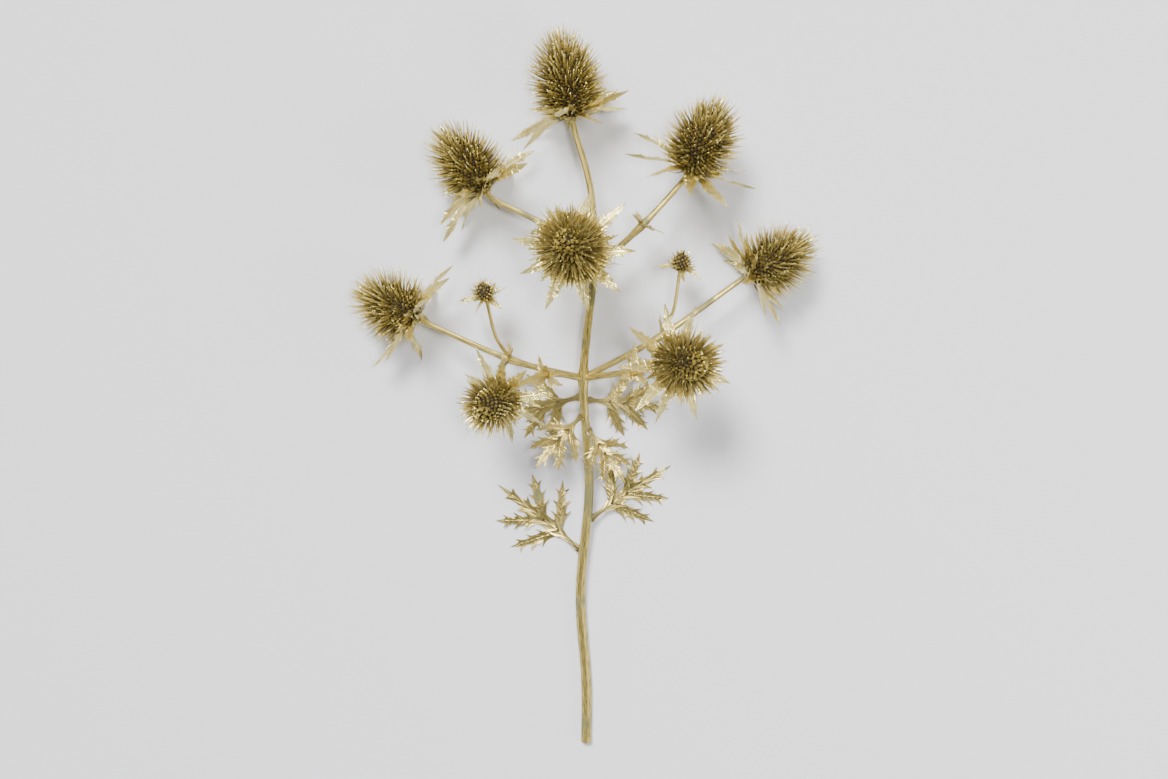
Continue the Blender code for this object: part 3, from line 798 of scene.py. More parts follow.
def add_blade(shape, route, facing_at, outline, fold, thickness, crumple, seed, twist=0.0):
    """Adds a closed toothed blade to the shape, whose underside follows the route.

    It turns by the twist about its own length. Its corners keep how far out they are along the blade,
    and a UV place across and along it.
    """
    reach = shape.verts.layers.float.get("reach") or shape.verts.layers.float.new("reach")
    places = shape.loops.layers.uv.get("UVMap") or shape.loops.layers.uv.new("UVMap")
    rings = []
    for share, half_width, lead in outline:
        point, along = point_on(route, share)
        side = Matrix.Rotation(twist * share, 3, along) @ along.cross(facing_at(point)).normalized()
        normal = side.cross(along)
        thick = thickness * (1.0 - BLADE_THINNING * share)
        upper, lower = [], []
        for a in BLADE_ACROSS:
            spot = Vector((share * CRUMPLE_ALONG, a * CRUMPLE_ACROSS, seed))
            swing = noise.noise(spot) * crumple * abs(a)
            rise = normal * (fold * abs(a) * half_width + swing * min(half_width, CRUMPLE_WIDTH) / 2)
            rim = side * a * half_width + along * lead * abs(a) ** 3 + rise
            body = thick * (1.0 - abs(a))
            crease = BLADE_CREASE * body if a == 0 else 0.0
            upper.append(point + rim + normal * (body - crease))
            lower.append(point + rim)
        ring = []
        for corner in (*upper, *reversed(lower[1:-1])):
            ring.append(add_point(shape, (corner.x, corner.y, max(corner.z, LEAST_HEIGHT)), reach, share))
        rings.append(ring)
    tip = add_point(shape, route[-1] + normal * BLADE_TIP * thickness, reach, 1.0)

    faces = []
    count = len(BLADE_U)
    for i, (ring, ahead) in enumerate(zip(rings, rings[1:])):
        v0, v1 = outline[i][0], outline[i + 1][0]
        for k in range(count):
            m = (k + 1) % count
            u0, u1 = BLADE_U[k], BLADE_U[m]
            faces.append(((ring[k], u0, v0), (ring[m], u1, v0), (ahead[m], u1, v1), (ahead[k], u0, v1)))
    last, v0 = rings[-1], outline[-1][0]
    for k in range(count):
        m = (k + 1) % count
        faces.append(((last[k], BLADE_U[k], v0), (last[m], BLADE_U[m], v0), (tip, 0.5, 1.0)))
    faces.append(tuple((vert, u, 0.0) for vert, u in reversed(list(zip(rings[0], BLADE_U)))))
    for corners in faces:
        face = shape.faces.new([vert for vert, _, _ in corners])
        face.smooth = True
        for loop, (_, u, v) in zip(face.loops, corners):
            loop[places].uv = (u, v)
    for ring, ahead in zip(rings, rings[1:]):
        for k in BLADE_RIMS:
            shape.edges.get((ring[k], ahead[k])).smooth = False


def blades_piece(name, shape, finish):
    """The piece of a shape made of blades, in the frame."""
    mesh = made_mesh(name, shape)
    mesh.materials.append(finish)
    mesh.transform(TO_FRAME)
    return add_object(name, mesh)


def blade_finish(name, paint, root_paint, thinness, roughness, veins_along, veins_across):
    """Gold on a leafy blade, with fine veins that slant from its rib. Painted light and shade: paler along
    its rib, rims and raised veins, darker in the vein grooves and towards its foot.
    """
    values = {
        "Paint": paint,
        "Root Paint": root_paint,
        "Thinness": thinness,
        "Patch Scale": BLADE_PATCHES,
        "Roughness": roughness,
    }
    finish, spray = sprayed_finish(name, values)
    tree = finish.node_tree
    place = separate(tree, add_node(tree, "ShaderNodeUVMap", uv_map="UVMap").outputs["UV"])
    from_rib = calc(tree, "ABSOLUTE", calc(tree, "SUBTRACT", place["X"], 0.5))
    lengthways = calc(tree, "MULTIPLY", place["Y"], veins_along)
    slant = calc(tree, "MULTIPLY", from_rib, veins_across)
    veins = calc(tree, "SINE", calc(tree, "SUBTRACT", lengthways, slant))
    rib = ramp(tree, from_rib, *RIB_BAND, 1.0, 0.0)
    relief = calc(tree, "ADD", calc(tree, "MULTIPLY", veins, VEIN_HEIGHT), rib)
    # Painted light and shade: raised veins, the rib and the rims paler, the vein grooves and the foot
    # darker.
    raised = ramp(tree, relief, *RELIEF_BAND, *RELIEF_SHADE)
    at_rim = ramp(tree, from_rib, *RIM_BAND, 0.0, RIM_LIGHT)
    along = ramp(tree, place["Y"], *FOOT_BAND, FOOT_SHADE, 1.0)
    light_and_shade = calc(tree, "MULTIPLY", along, calc(tree, "ADD", raised, at_rim))
    tree.links.new(light_and_shade, spray["Exposure"])
    surface = tree.nodes["Principled BSDF"].inputs
    add_relief(tree, surface, relief, RELIEF_STRENGTH, RELIEF_HEIGHT)
    return finish


BRACT_FINISH = blade_finish(
    "gold_on_bracts",
    paint=(0.82, 0.67, 0.24, 1.0),
    root_paint=(0.46, 0.36, 0.12, 1.0),
    thinness=0.40,
    roughness=0.36,
    veins_along=20.0,
    veins_across=40.0,
)


def joint_bracts(shape, joint, along, count, length, rng):
    """Short cut bracts spread round a joint, with their roots inside it."""
    outline = toothed_outline(BRACT_HALF_WIDTH, teeth=2, tooth=BRACT_TOOTH, first=0.34, last=0.80, belly=0.4)
    turn = turn_to(along) @ Matrix.Rotation(rng.uniform(0, 2 * math.pi), 3, "Z")
    for k in range(count):
        level = turn @ level_way(2 * math.pi * (k + rng.uniform(-BRACT_SHUFFLE, BRACT_SHUFFLE)) / count)
        start = joint + level * BRACT_ROOT
        heading = level + along * rng.uniform(*BRACT_RISE)
        bend = -along * rng.uniform(*BRACT_BEND)
        reach = length * rng.uniform(*BRACT_REACH)
        for spread, lobe_share in BRACT_LOBES:
            lobe_heading = Matrix.Rotation(spread, 3, along) @ heading
            route = march(start, lobe_heading, reach * lobe_share, bend, BRACT_FLOOR, along)
            form = {"fold": 0.30, "thickness": 0.6, "crumple": 0.8, "twist": BRACT_LOBE_TWIST * spread}
            add_blade(shape, route, lambda _: along, outline, seed=k + spread, **form)


shape = bmesh.new()
bract_rng = random.Random("joints")
fork_way = Vector((0, 1, 0.1)).normalized()
joint_bracts(shape, Vector(UPPER_FORK), fork_way, BRACTS_AT_FORK, BRACT_LENGTH, bract_rng)
for head in HEADS.values():
    if head.fork in FORKS:
        branch_way = (Vector(head.seat) - Vector(head.way)).normalized()
        bend_length = BRACT_AT_BEND * BRACT_LENGTH
        joint_bracts(shape, Vector(head.way), branch_way, BRACTS_AT_BEND, bend_length, bract_rng)
attach(blades_piece("joint_bracts", shape, BRACT_FINISH), "stem")

# The leaves: each is cut like a hand into a long middle lobe and side lobes, all with spiny teeth. The
# low ones droop on to the table and lie on it, those at the fork stand out round the stem.
Leaf = namedtuple("Leaf", "y heading length lies")
LEAVES = {
    # y on the stem, the way the leaf leaves it, its length, whether it lies on the table
    "leaf_low_left": Leaf(140, (-0.80, 0.62, -0.30), 74, True),
    "leaf_low_right": Leaf(162, (0.84, 0.54, -0.30), 68, True),
    "leaf_fork_left": Leaf(249, (-0.86, -0.30, -0.44), 64, True),
    "leaf_fork_right": Leaf(247, (0.92, -0.16, -0.42), 62, True),
    "leaf_fork_front_left": Leaf(236, (-0.66, -0.56, 0.50), 50, False),
    "leaf_fork_front_right": Leaf(226, (0.55, -0.62, 0.52), 46, False),
}
LEAF_WIDTH = 4.6
LEAF_TOOTH = 4.2
LEAF_SUNK = 0.7
# share of the length and half width of each cross-section where the leaf clasps the stem
LEAF_CLASP = ((0.0, 2.9), (0.035, 2.5), (0.08, 1.7), (0.14, 1.5), (0.19, 1.9))
LYING_HEIGHT = 0.1
RAISED_LEAF_BEND = Vector((0.0, -0.25, -0.25))
RAISED_LEAF_FACING = Vector((0.0, 0.5, 1.0))
# share along the middle lobe, degrees of spread, reach as a share of the leaf's length
SIDE_LOBES = ((0.26, 56.0, 0.50), (0.44, 38.0, 0.46))
SIDE_LOBE_WIDTH = 0.8
SIDE_LOBE_LIFT = 0.12
SIDE_LOBE_DROOP = 0.15
SIDE_LOBE_TWIST = 0.35
SIDE_LOBE_SEED = 3.1
LEAF_FINISH = blade_finish(
    "gold_on_leaves",
    paint=(0.58, 0.46, 0.15, 1.0),
    root_paint=(0.28, 0.22, 0.07, 1.0),
    thinness=0.42,
    roughness=0.38,
    veins_along=60.0,
    veins_across=16.0,
)


def stem_point(y):
    """The point of the main stem's middle line at a distance y from the cut end."""
    route = stem_routes()[0][0]
    for before, after in zip(route, route[1:]):
        if before.y <= y <= after.y:
            return before.lerp(after, (y - before.y) / (after.y - before.y))


def leaf_piece(name, leaf):
    """One leaf: its middle lobe, and two side lobes on each hand that run from its rib."""
    root = stem_point(leaf.y)
    heading = Vector(leaf.heading).normalized()
    across_stem = Vector((heading.x, 0.0, heading.z)).normalized()
    start = root + across_stem * (stem_radius(root) - LEAF_SUNK)
    facing = UP if leaf.lies else (RAISED_LEAF_FACING - heading * heading.z).normalized()
    bend = Vector() if leaf.lies else RAISED_LEAF_BEND
    rib = march(start, heading, leaf.length, bend, LYING_HEIGHT, heading)
    shape = bmesh.new()
    middle_lobe = toothed_outline(LEAF_WIDTH, teeth=4, tooth=LEAF_TOOTH, first=0.26, last=0.90, belly=0.45)
    outline = [(share, half_width, 0.0) for share, half_width in LEAF_CLASP] + middle_lobe[2:]
    add_blade(shape, rib, lambda _: facing, outline, fold=0.26, thickness=1.0, crumple=1.6, seed=len(name))
    side_width = SIDE_LOBE_WIDTH * LEAF_WIDTH
    side_lobe = toothed_outline(side_width, teeth=3, tooth=LEAF_TOOTH, first=0.2, last=0.86, belly=0.45)
    for number, (share, spread, reach) in enumerate(SIDE_LOBES):
        for hand in (-1, 1):
            at, along = point_on(rib, share)
            lobe_heading = Matrix.Rotation(math.radians(-hand * spread), 3, facing) @ along
            lobe_heading += facing * SIDE_LOBE_LIFT
            droop = bend - facing * SIDE_LOBE_DROOP
            route = march(at, lobe_heading, leaf.length * reach, droop, LYING_HEIGHT, lobe_heading)
            seed = number * SIDE_LOBE_SEED + hand
            form = {"fold": 0.3, "thickness": 0.9, "crumple": 1.6, "twist": SIDE_LOBE_TWIST * hand}
            add_blade(shape, route, lambda _: facing, side_lobe, seed=seed, **form)
    return blades_piece(name + "_blade", shape, LEAF_FINISH)


for leaf_name, leaf in LEAVES.items():
    attach(leaf_piece(leaf_name, leaf), leaf_name)

# The ruffs: under each cone a whorl of long, stiff, toothed bracts, the palest gold of the plant. Some
# spread flat, some curve back or twist, and shorter ones fill the gaps between them. Small scales
# overlap in rows below them, as a collar over the cone's foot.
RUFF_RISE = 3.6
RUFF_ROOT = 4.0
RUFF_HALF_WIDTH = 4.6
RUFF_TOOTH = 1.7
RUFF_TEETH = 4
RUFF_FOLD = 0.24
RUFF_THICKNESS = 0.9
RUFF_CRUMPLE = 1.1
RUFF_COUNT = 9
BUD_RUFF_COUNT = 6
RUFF_SHUFFLE = 0.12
# degrees by which a bract leaves the cone's foot towards its top, or back from it
RUFF_TILT = (-20.0, 8.0)
RUFF_BEND = (-0.35, 0.45)
RUFF_LENGTHS = (0.84, 1.08)
RUFF_TWIST = (0.5, 1.5)
FACING_RUFF_TWIST = (0.0, 0.4)
FACING_HEIGHT = 0.7
SHORT_BRACT_TEETH = 2
SHORT_BRACT_WIDTH = 0.55
SHORT_BRACT_SHUFFLE = 0.2
SHORT_BRACT_TILT = (2.0, 22.0)
SHORT_BRACT_LENGTHS = (0.5, 0.72)
SHORT_BRACT_BEND = (0.0, 0.4)
SHORT_BRACT_TWIST = (-1.0, 1.0)
# number of scales in a row of the collar, radius and depth of their roots, their length and half width
COLLAR_ROWS = ((11, 3.4, 0.5, 7.5, 1.9), (8, 0.9, 1.2, 7.0, 2.1), (7, 0.6, 3.0, 4.2, 1.1))
COLLAR_SHUFFLE = 0.15
COLLAR_RISE = 0.12
COLLAR_CURL = 0.55
COLLAR_FOLD = 0.2
COLLAR_THICKNESS = 0.7
COLLAR_CRUMPLE = 0.5
LIE_DOWN_HEIGHT = 14.0
STRAIGHT_DOWN = -0.8
HEAD_RADIUS = 11.5
BUD_SCALE = 0.5
RUFF_FINISH = blade_finish(
    "gold_on_ruffs",
    paint=(1.0, 0.87, 0.36, 1.0),
    root_paint=(0.52, 0.40, 0.11, 1.0),
    thinness=0.18,
    roughness=0.27,
    veins_along=7.0,
    veins_across=52.0,
)


def head_turn(name, axis):
    """The turn of a head about its own axis, and of that axis from +Z."""
    return turn_to(axis) @ Matrix.Rotation(random.Random(name).uniform(0, 2 * math.pi), 3, "Z")


def is_facing(head):
    """Whether a head looks up from the table, so that its crown shows from above."""
    return Vector(head.axis).normalized().z > FACING_HEIGHT


def ruff_piece(name, head, count, scale):
    """The whorl of bracts and the collar under one cone."""
    rng = random.Random(name + "_ruff")
    turns = random.Random(name + "_twist")
    turn = head_turn(name, head.axis)
    axis = Vector(head.axis).normalized()
    seat = Vector(head.seat) + axis * SEAT_GAP
    back = Vector((-axis.x, -axis.y, 0.0))
    main_twist = FACING_RUFF_TWIST if is_facing(head) else RUFF_TWIST
    shape = bmesh.new()

    def add_bract(angle, tilt, bend, length, width, teeth, twist):
        """Adds one bract, which leaves the cone's foot at an angle round it, tilted by some degrees."""
        level = level_way(angle)
        rise = math.radians(tilt)
        heading = turn @ (level * math.cos(rise) + UP * math.sin(rise))
        start = seat + turn @ (level * RUFF_ROOT * scale + UP * RUFF_RISE * scale)
        route = march(start, heading, length, axis * bend, LYING_HEIGHT, back)
        inner = -axis if heading.z < STRAIGHT_DOWN else axis

        def facing_at(point):
            """The bract's upper side: towards the cone, turning up where the bract nears the table."""
            level_share = min(max((LIE_DOWN_HEIGHT - point.z) / LIE_DOWN_HEIGHT, 0.0), 1.0)
            return inner.lerp(UP, level_share)

        tooth = RUFF_TOOTH * scale
        outline = toothed_outline(width * scale, teeth, tooth, first=0.26, last=0.80, belly=0.42)
        thickness = RUFF_THICKNESS * scale**0.5
        add_blade(shape, route, facing_at, outline, RUFF_FOLD, thickness, RUFF_CRUMPLE, angle, twist)

    for k in range(count):
        angle = 2 * math.pi * (k + rng.uniform(-RUFF_SHUFFLE, RUFF_SHUFFLE)) / count
        tilt = rng.uniform(*RUFF_TILT)
        bend = rng.uniform(*RUFF_BEND)
        length = head.reach * rng.uniform(*RUFF_LENGTHS)
        twist = turns.choice((-1, 1)) * turns.uniform(*main_twist)
        add_bract(angle, tilt, bend, length, RUFF_HALF_WIDTH, RUFF_TEETH, twist)
    for k in range(count):
        angle = 2 * math.pi * (k + 0.5 + rng.uniform(-SHORT_BRACT_SHUFFLE, SHORT_BRACT_SHUFFLE)) / count
        tilt = rng.uniform(*SHORT_BRACT_TILT)
        length = head.reach * rng.uniform(*SHORT_BRACT_LENGTHS)
        bend = rng.uniform(*SHORT_BRACT_BEND)
        width = SHORT_BRACT_WIDTH * RUFF_HALF_WIDTH
        twist = turns.uniform(*SHORT_BRACT_TWIST)
        add_bract(angle, tilt, bend, length, width, SHORT_BRACT_TEETH, twist)
    for scales, start_radius, depth, length, width in COLLAR_ROWS:
        outline = plain_outline(width * scale, belly=0.5)
        thickness = COLLAR_THICKNESS * scale
        for k in range(scales):
            angle = 2 * math.pi * (k + turns.uniform(-COLLAR_SHUFFLE, COLLAR_SHUFFLE)) / scales
            level = turn @ level_way(angle)
            start = seat + (level * start_radius - axis * depth) * scale
            heading = level + axis * COLLAR_RISE
            route = march(start, heading, length * scale, axis * COLLAR_CURL, LEAST_HEIGHT, back)
            add_blade(shape, route, lambda _: axis, outline, COLLAR_FOLD, thickness, COLLAR_CRUMPLE, angle)
    return blades_piece(name + "_ruff", shape, RUFF_FINISH)


for head_name, head in HEADS.items():
    attach(ruff_piece(head_name, head, RUFF_COUNT, head.radius / HEAD_RADIUS), head_name)
for bud_name, bud in BUDS.items():
    attach(ruff_piece(bud_name, bud, BUD_RUFF_COUNT, BUD_SCALE), bud_name)

# The cones: hundreds of tiny florets packed in crossing spirals over a woody cone, each with one stiff
# channelled spine below it. The spines stand straight out at the cone's foot and lean forward towards
# its top. Their tips are pale gold and they darken towards their roots, where the florets and the cone
# are dark brown: partly gold lying thick on the tips and not reaching the roots, partly painted shade.
CONE_NECK = 0.12
CONE_FULLNESS = 0.6
CONE_SEGMENTS = 24
CONE_RINGS = 16
# steps of the curve that spreads florets over a cone, and finer ones in each of them
HEIGHT_STEPS = 14
FINE_STEPS = 4
SPINE_LENGTH = 16.5
SPINE_HALF_WIDTH = 0.78
# share of the spine's length, share of its half width
SPINE_PROFILE = ((0.0, 0.75), (0.14, 0.95), (0.34, 1.0), (0.58, 0.72), (0.80, 0.38))
# the corners of a spine's cross-section, as shares of its half width: two edges, a ridge and a channel
SPINE_SECTION = ((0.15, 1.0), (-0.62, 0.0), (0.15, -1.0), (-0.12, 0.0))
SPINE_EDGES = (0, 2)
SPINE_BENDS = (0.06, 0.13, 0.22)
# a random value below this picks one of the kinds of spine
SPINE_KINDS_END = len(SPINE_BENDS) - 0.01
SPINE_FOOT_TILT = math.radians(-8.0)
SPINE_TILT_RISE = math.radians(84.0)
SPINE_TILT_POWER = 1.7
SPINE_JITTER = 0.15
# the most that a spine turns about its X, Y and Z, as a multiple of the jitter
SPINE_SWING = (1, 1, 3)
SPINE_LENGTHS = (0.76, 1.14)
SPINE_WIDTHS = (0.8, 1.25)
# share of the cone's height, share of the full length of a spine
SPINE_REACH = ((0.0, 0.78), (0.3, 0.98), (0.75, 1.0), (0.9, 1.0), (1.0, 0.92))
CROWN_BAND = (0.80, 0.97)
OPEN_CROWN = 0.62
CLOSED_CROWN = 0.1
FLORETS = 460
FLORET_TEETH = 5
FLORET_RADIUS = 1.1
FLORET_SIZES = (0.8, 1.2)
FLORET_LEAN = 1.35
FLORET_LEAN_POWER = 2.5
CROWN_FLORET_BAND = (0.75, 1.0)
CROWN_FLORET_SCALE = 1.6
HEAD_LENGTH = 42.0
BUD_FLORETS = 80
BUD_FLORET_RADIUS = 0.8
BUD_SPINE_LENGTH = 6.5
GOLDEN_ANGLE = math.pi * (3 - math.sqrt(5))
# the seeds of each cone's random values start this far apart
SEEDS_A_CONE = 10


def spine_mesh(name, bend):
    """A spine one unit long along +Z: a narrow channelled blade that bends towards +X to its point."""
    shape = bmesh.new()
    reach = shape.verts.layers.float.new("reach")
    rings = []
    for share, width in SPINE_PROFILE:
        half = width * SPINE_HALF_WIDTH / SPINE_LENGTH
        middle_x = bend * share**2
        places = [(middle_x + x * half, y * half, share) for x, y in SPINE_SECTION]
        rings.append([add_point(shape, place, reach, share) for place in places])
    tip = add_point(shape, (bend, 0, 1), reach, 1.0)
    join_rings(shape, rings)
    for ring, ahead in zip(rings, rings[1:]):
        for k in SPINE_EDGES:
            shape.edges.get((ring[k], ahead[k])).smooth = False
    last = rings[-1]
    for k in range(len(last)):
        shape.faces.new((last[k], last[(k + 1) % len(last)], tip))
    shape.faces.new(rings[0])
    for face in shape.faces:
        face.smooth = True
    return made_mesh(name, shape)


def floret_mesh():
    """A floret one unit across its points: a low cup with five short teeth."""
    shape = bmesh.new()
    reach = shape.verts.layers.float.new("reach")

    def ring(radius, height, first, out):
        """Five points round the floret, which keep how far out they are."""
        angles = [2 * math.pi * (k + first) / FLORET_TEETH for k in range(FLORET_TEETH)]
        places = [(radius * math.cos(angle), radius * math.sin(angle), height) for angle in angles]
        return [add_point(shape, place, reach, out) for place in places]

    # How far out each ring is: the finish paints the floret's foot and valleys darker, as painted shade, and
    # its teeth paler.
    foot = ring(radius=0.50, height=-0.5, first=0.0, out=0.0)
    teeth = ring(radius=0.85, height=1.5, first=0.0, out=0.75)
    valleys = ring(radius=0.72, height=0.6, first=0.5, out=0.25)
    crown = add_point(shape, place=(0, 0, 1.35), layer=reach, value=0.6)
    for k in range(FLORET_TEETH):
        m = (k + 1) % FLORET_TEETH
        shape.faces.new((foot[k], foot[m], valleys[k]))
        shape.faces.new((foot[k], valleys[k], teeth[k]))
        shape.faces.new((foot[m], teeth[m], valleys[k]))
        shape.faces.new((teeth[k], valleys[k], crown))
        shape.faces.new((valleys[k], teeth[m], crown))
    shape.faces.new(foot)
    return made_mesh("floret", shape)


def cone_radius(share):
    """The cone's radius at a share of its height, as a share of its widest."""
    return math.sin(math.pi * (CONE_NECK + (1 - CONE_NECK) * share)) ** CONE_FULLNESS


def even_heights():
    """Points of the curve that spreads florets evenly over a cone: share of them, and their height."""
    slices = HEIGHT_STEPS * FINE_STEPS
    areas = [0.0]
    for k in range(slices):
        areas.append(areas[-1] + cone_radius((k + 0.5) / slices))
    return [(areas[FINE_STEPS * k] / areas[-1], k / HEIGHT_STEPS) for k in range(HEIGHT_STEPS + 1)]


def follow_curve(tree, value, points):
    """A value that follows the curve through the points."""
    node = add_node(tree, "ShaderNodeFloatCurve", {"Value": value})
    curve = node.mapping.curves[0]
    for place, point in zip((points[0], points[-1]), (curve.points[0], curve.points[-1])):
        point.location = place
    for x, y in points[1:-1]:
        curve.points.new(x, y)
    node.mapping.update()
    return node.outputs[0]


def cone_place_group():
    """The place on a cone at a share of its height and an angle round its axis."""
    inputs = {
        "Height Share": ("NodeSocketFloat", 0.0),
        "Out": ("NodeSocketVector", None),
        "Length": ("NodeSocketFloat", 1.0),
        "Radius": ("NodeSocketFloat", 1.0),
    }
    outputs = {"Place": "NodeSocketVector"}
    group, given, result = new_group("cone_place", "GeometryNodeTree", inputs, outputs)
    share = given["Height Share"]
    turn = calc(group, "MULTIPLY_ADD", share, math.pi * (1 - CONE_NECK), math.pi * CONE_NECK)
    fullness = calc(group, "POWER", calc(group, "MAXIMUM", calc(group, "SINE", turn), 0.0), CONE_FULLNESS)
    radius = calc(group, "MULTIPLY", fullness, given["Radius"])
    level = vector_calc(group, "SCALE", {0: given["Out"], "Scale": radius})
    raised = combine(group, Z=calc(group, "MULTIPLY", share, given["Length"]))
    group.links.new(vector_calc(group, "ADD", {0: level, 1: raised}), result["Place"])
    return group


def spiny_cone_tree():
    """A cone with its florets and spines, along +Z from its foot."""
    inputs = {
        "Host": ("NodeSocketGeometry", None),
        "Cone Length": ("NodeSocketFloat", HEAD_LENGTH),
        "Cone Radius": ("NodeSocketFloat", HEAD_RADIUS),
        "Florets": ("NodeSocketInt", FLORETS),
        "Floret Radius": ("NodeSocketFloat", FLORET_RADIUS),
        "Floret": ("NodeSocketObject", None),
        "Spines": ("NodeSocketCollection", None),
        "Spine Length": ("NodeSocketFloat", SPINE_LENGTH),
        "Foot Tilt": ("NodeSocketFloat", SPINE_FOOT_TILT),
        "Tilt Rise": ("NodeSocketFloat", SPINE_TILT_RISE),
        "Jitter": ("NodeSocketFloat", SPINE_JITTER),
        "Open Crown": ("NodeSocketFloat", CLOSED_CROWN),
        "Seed": ("NodeSocketInt", 0),
        "Cone Finish": ("NodeSocketMaterial", None),
        "Floret Finish": ("NodeSocketMaterial", None),
        "Spine Finish": ("NodeSocketMaterial", None),
    }
    outputs = {"Head": "NodeSocketGeometry"}
    tree, given, result = new_group("spiny_cone", "GeometryNodeTree", inputs, outputs)
    cone_place = cone_place_group()

    def place_on_cone(share, out):
        """The place at a share of the cone's height, on the side that it faces."""
        sockets = {
            "Height Share": share,
            "Out": out,
            "Length": given["Cone Length"],
            "Radius": given["Cone Radius"],
        }
        return node_result(tree, "GeometryNodeGroup", sockets, node_tree=cone_place)

    def spiral(offset):
        """Points in spirals on the cone, and the share of its height and the angle of each."""
        index = calc(tree, "ADD", node_result(tree, "GeometryNodeInputIndex"), offset)
        share = follow_curve(tree, calc(tree, "DIVIDE", index, given["Florets"]), even_heights())
        angle = calc(tree, "MULTIPLY", index, GOLDEN_ANGLE)
        out = combine(tree, X=calc(tree, "COSINE", angle), Y=calc(tree, "SINE", angle))
        sockets = {"Count": given["Florets"], "Position": place_on_cone(share, out)}
        return node_result(tree, "GeometryNodePoints", sockets), share, angle

    def random_value(number, low, high):
        """The numbered random value of each point or copy, between low and high."""
        sockets = {2: low, 3: high, "Seed": calc(tree, "ADD", given["Seed"], number)}
        return add_node(tree, "FunctionNodeRandomValue", sockets, data_type="FLOAT").outputs[1]

    def random_turn(number, most, scale):
        """A numbered random turn about X, Y and Z, up to the most times the scale."""
        least = tuple(-angle for angle in most)
        sockets = {0: least, 1: most, "Seed": calc(tree, "ADD", given["Seed"], number)}
        angles = node_result(tree, "FunctionNodeRandomValue", sockets, data_type="FLOAT_VECTOR")
        angles = vector_calc(tree, "SCALE", {0: angles, "Scale": scale})
        return node_result(tree, "FunctionNodeEulerToRotation", {0: angles})

    def turn_at(angle, tilt):
        """The rotation that points +Z out at the tilt above the level, and +X towards the cone's top."""
        sine, cosine = calc(tree, "SINE", tilt), calc(tree, "COSINE", tilt)
        x, y = calc(tree, "COSINE", angle), calc(tree, "SINE", angle)
        low = calc(tree, "MULTIPLY", sine, -1.0)
        out = combine(tree, X=calc(tree, "MULTIPLY", x, cosine), Y=calc(tree, "MULTIPLY", y, cosine), Z=sine)
        up = combine(tree, X=calc(tree, "MULTIPLY", x, low), Y=calc(tree, "MULTIPLY", y, low), Z=cosine)
        axes = {"Primary Axis": out, "Secondary Axis": up}
        return node_result(tree, "FunctionNodeAxesToRotation", axes, primary_axis="Z", secondary_axis="X")

    def shaded(number, instances, finish):
        """Copies made real, each with a random shade of its own, in their finish."""
        shade = random_value(number, 0.0, 1.0)
        instances = keep_value(tree, instances, "shade", shade, domain="INSTANCE")
        return real_copies(tree, instances, finish)

    # Spines.
    points, share, angle = spiral(0.5)
    tilt = calc(tree, "POWER", share, SPINE_TILT_POWER)
    tilt = calc(tree, "MULTIPLY_ADD", tilt, given["Tilt Rise"], given["Foot Tilt"])
    turns = {"Rotation": turn_at(angle, tilt), "Rotate By": random_turn(1, SPINE_SWING, given["Jitter"])}
    turn = node_result(tree, "FunctionNodeRotateRotation", turns, rotation_space="LOCAL")
    shortened = calc(tree, "MULTIPLY", given["Open Crown"], ramp(tree, share, *CROWN_BAND))
    reach = calc(tree, "MULTIPLY", follow_curve(tree, share, SPINE_REACH), random_value(2, *SPINE_LENGTHS))
    reach = calc(tree, "MULTIPLY", reach, given["Spine Length"])
    reach = calc(tree, "MULTIPLY", reach, calc(tree, "SUBTRACT", 1.0, shortened))
    width = calc(tree, "MULTIPLY", given["Spine Length"], random_value(3, *SPINE_WIDTHS))
    kinds = {"Collection": given["Spines"], "Separate Children": True, "Reset Children": True}
    copies = {
        "Points": points,
        "Instance": node_result(tree, "GeometryNodeCollectionInfo", kinds),
        "Pick Instance": True,
        "Instance Index": random_value(4, 0.0, SPINE_KINDS_END),
        "Rotation": turn,
        "Scale": combine(tree, X=width, Y=width, Z=reach),
    }
    spines = node_result(tree, "GeometryNodeInstanceOnPoints", copies)

    # Florets, halfway between the spines.
    points, share, angle = spiral(1.0)
    lean = calc(tree, "MULTIPLY", calc(tree, "POWER", share, FLORET_LEAN_POWER), FLORET_LEAN)
    size = calc(tree, "MULTIPLY", given["Floret Radius"], random_value(5, *FLORET_SIZES))
    crown_size = ramp(tree, share, *CROWN_FLORET_BAND, 1.0, CROWN_FLORET_SCALE)
    floret = add_node(tree, "GeometryNodeObjectInfo", {"Object": given["Floret"]}).outputs["Geometry"]
    copies = {
        "Points": points,
        "Instance": floret,
        "Rotation": turn_at(angle, lean),
        "Scale": calc(tree, "MULTIPLY", size, crown_size),
    }
    florets = node_result(tree, "GeometryNodeInstanceOnPoints", copies)

    # The woody cone: a ball whose every level ring takes the cone's radius at its height.
    ball = node_result(tree, "GeometryNodeMeshUVSphere", {"Segments": CONE_SEGMENTS, "Rings": CONE_RINGS})
    spot = separate(tree, node_result(tree, "GeometryNodeInputPosition"))
    height = calc(tree, "MULTIPLY_ADD", spot["Z"], 0.5, 0.5)
    out = vector_calc(tree, "NORMALIZE", {0: combine(tree, X=spot["X"], Y=spot["Y"])})
    cone = move_points(tree, ball, place_on_cone(height, out))

    joined = add_node(tree, "GeometryNodeJoinGeometry")
    for made in (
        real_copies(tree, cone, given["Cone Finish"]),
        shaded(6, florets, given["Floret Finish"]),
        shaded(7, spines, given["Spine Finish"]),
    ):
        tree.links.new(made, joined.inputs[0])
    tree.links.new(joined.outputs[0], result["Head"])
    return tree


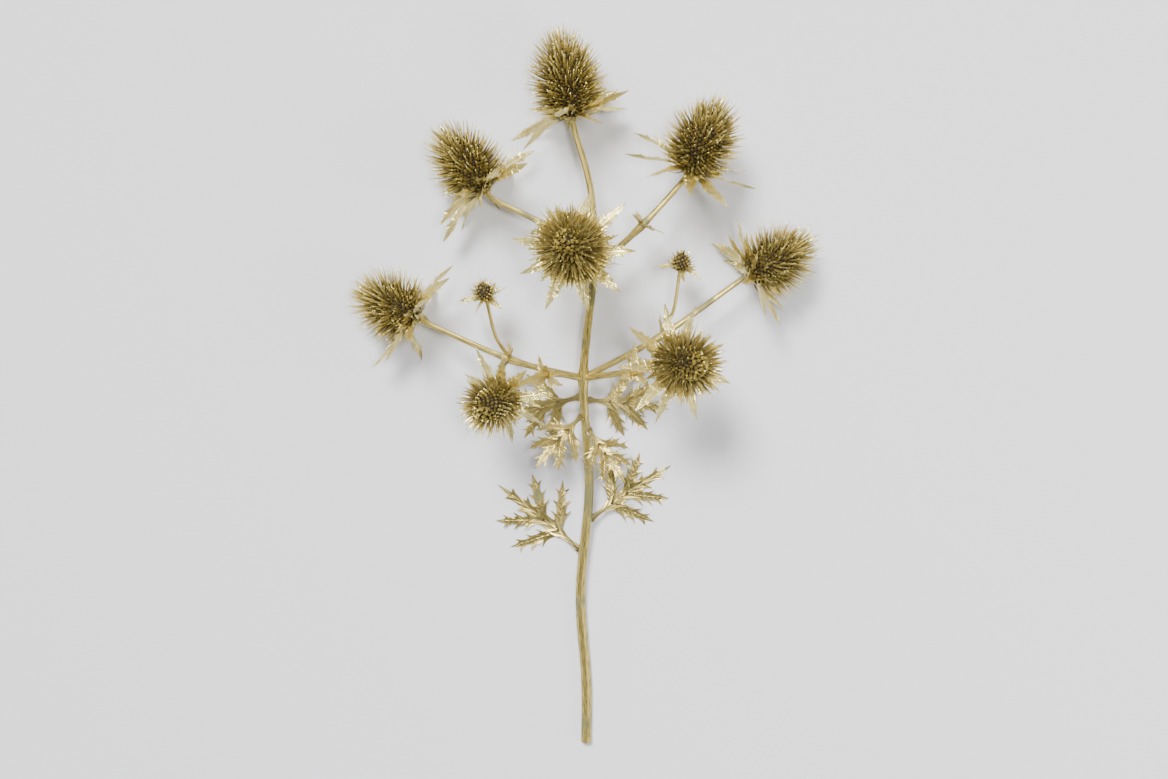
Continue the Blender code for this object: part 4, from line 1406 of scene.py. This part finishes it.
# The woody cone is painted near black, as painted shade deep among the florets and spines.
cone_values = {"Shade And Unpainted Colour": (0.025, 0.015, 0.004, 1.0), "Exposure": 0.0, "Roughness": 0.8}
CONE_FINISH, _ = sprayed_finish("cone_in_painted_shade", cone_values)
floret_values = {
    "Paint": (0.92, 0.79, 0.29, 1.0),
    "Root Paint": (0.48, 0.39, 0.13, 1.0),
    "Thinness": 0.1,
    "Roughness": 0.34,
}
# Spines and florets follow their own reach, so they are painted darker towards their roots, as painted shade
# deep in the head.
mesh_values = {"Exposure": "reach", "Shade": "shade"}
FLORET_FINISH, _ = sprayed_finish("gold_on_florets", floret_values, attributes=mesh_values)
spine_values = {"Thinness": 0.10, "Patch Scale": 90.0, "Roughness": 0.27}
SPINE_FINISH, _ = sprayed_finish("gold_on_spines", spine_values, grain=0.0, attributes=mesh_values)

spine_kinds = bpy.data.collections.new("spine_kinds")
for bend in SPINE_BENDS:
    spine_name = f"spine_{round(100 * bend)}"
    spine_kinds.objects.link(bpy.data.objects.new(spine_name, spine_mesh(spine_name, bend)))
floret_kind = bpy.data.objects.new("floret", floret_mesh())
CONE_TREE = spiny_cone_tree()


def cone_piece(name, head, florets, spine_length, floret_radius, seed):
    """One head's cone with its florets and spines, grown at its seat."""
    piece = add_object(name + "_cone", bpy.data.meshes.new(name + "_cone"))
    values = {
        "Cone Length": float(head.length),
        "Cone Radius": float(head.radius),
        "Florets": florets,
        "Floret Radius": floret_radius,
        "Floret": floret_kind,
        "Spines": spine_kinds,
        "Spine Length": spine_length,
        "Open Crown": OPEN_CROWN if is_facing(head) else CLOSED_CROWN,
        "Seed": SEEDS_A_CONE * seed,
        "Cone Finish": CONE_FINISH,
        "Floret Finish": FLORET_FINISH,
        "Spine Finish": SPINE_FINISH,
    }
    grow(piece, CONE_TREE, values)
    foot = Vector(head.seat) + Vector(head.axis).normalized() * SEAT_GAP
    piece.data.transform(Matrix.Translation(foot) @ head_turn(name, head.axis).to_4x4())
    keep_above_table(piece.data)
    piece.data.transform(TO_FRAME)
    return piece


for seed, (head_name, head) in enumerate(HEADS.items()):
    spine_length = SPINE_LENGTH * head.radius / HEAD_RADIUS
    florets = round(FLORETS * head.length * head.radius / (HEAD_LENGTH * HEAD_RADIUS))
    cone = cone_piece(head_name, head, florets, spine_length, FLORET_RADIUS, seed)
    attach(cone, head_name)
for seed, (bud_name, bud) in enumerate(BUDS.items(), len(HEADS)):
    cone = cone_piece(bud_name, bud, BUD_FLORETS, BUD_SPINE_LENGTH, BUD_FLORET_RADIUS, seed)
    attach(cone, bud_name)

for kind in (*spine_kinds.objects, floret_kind):
    bpy.data.objects.remove(kind)
bpy.data.collections.remove(spine_kinds)
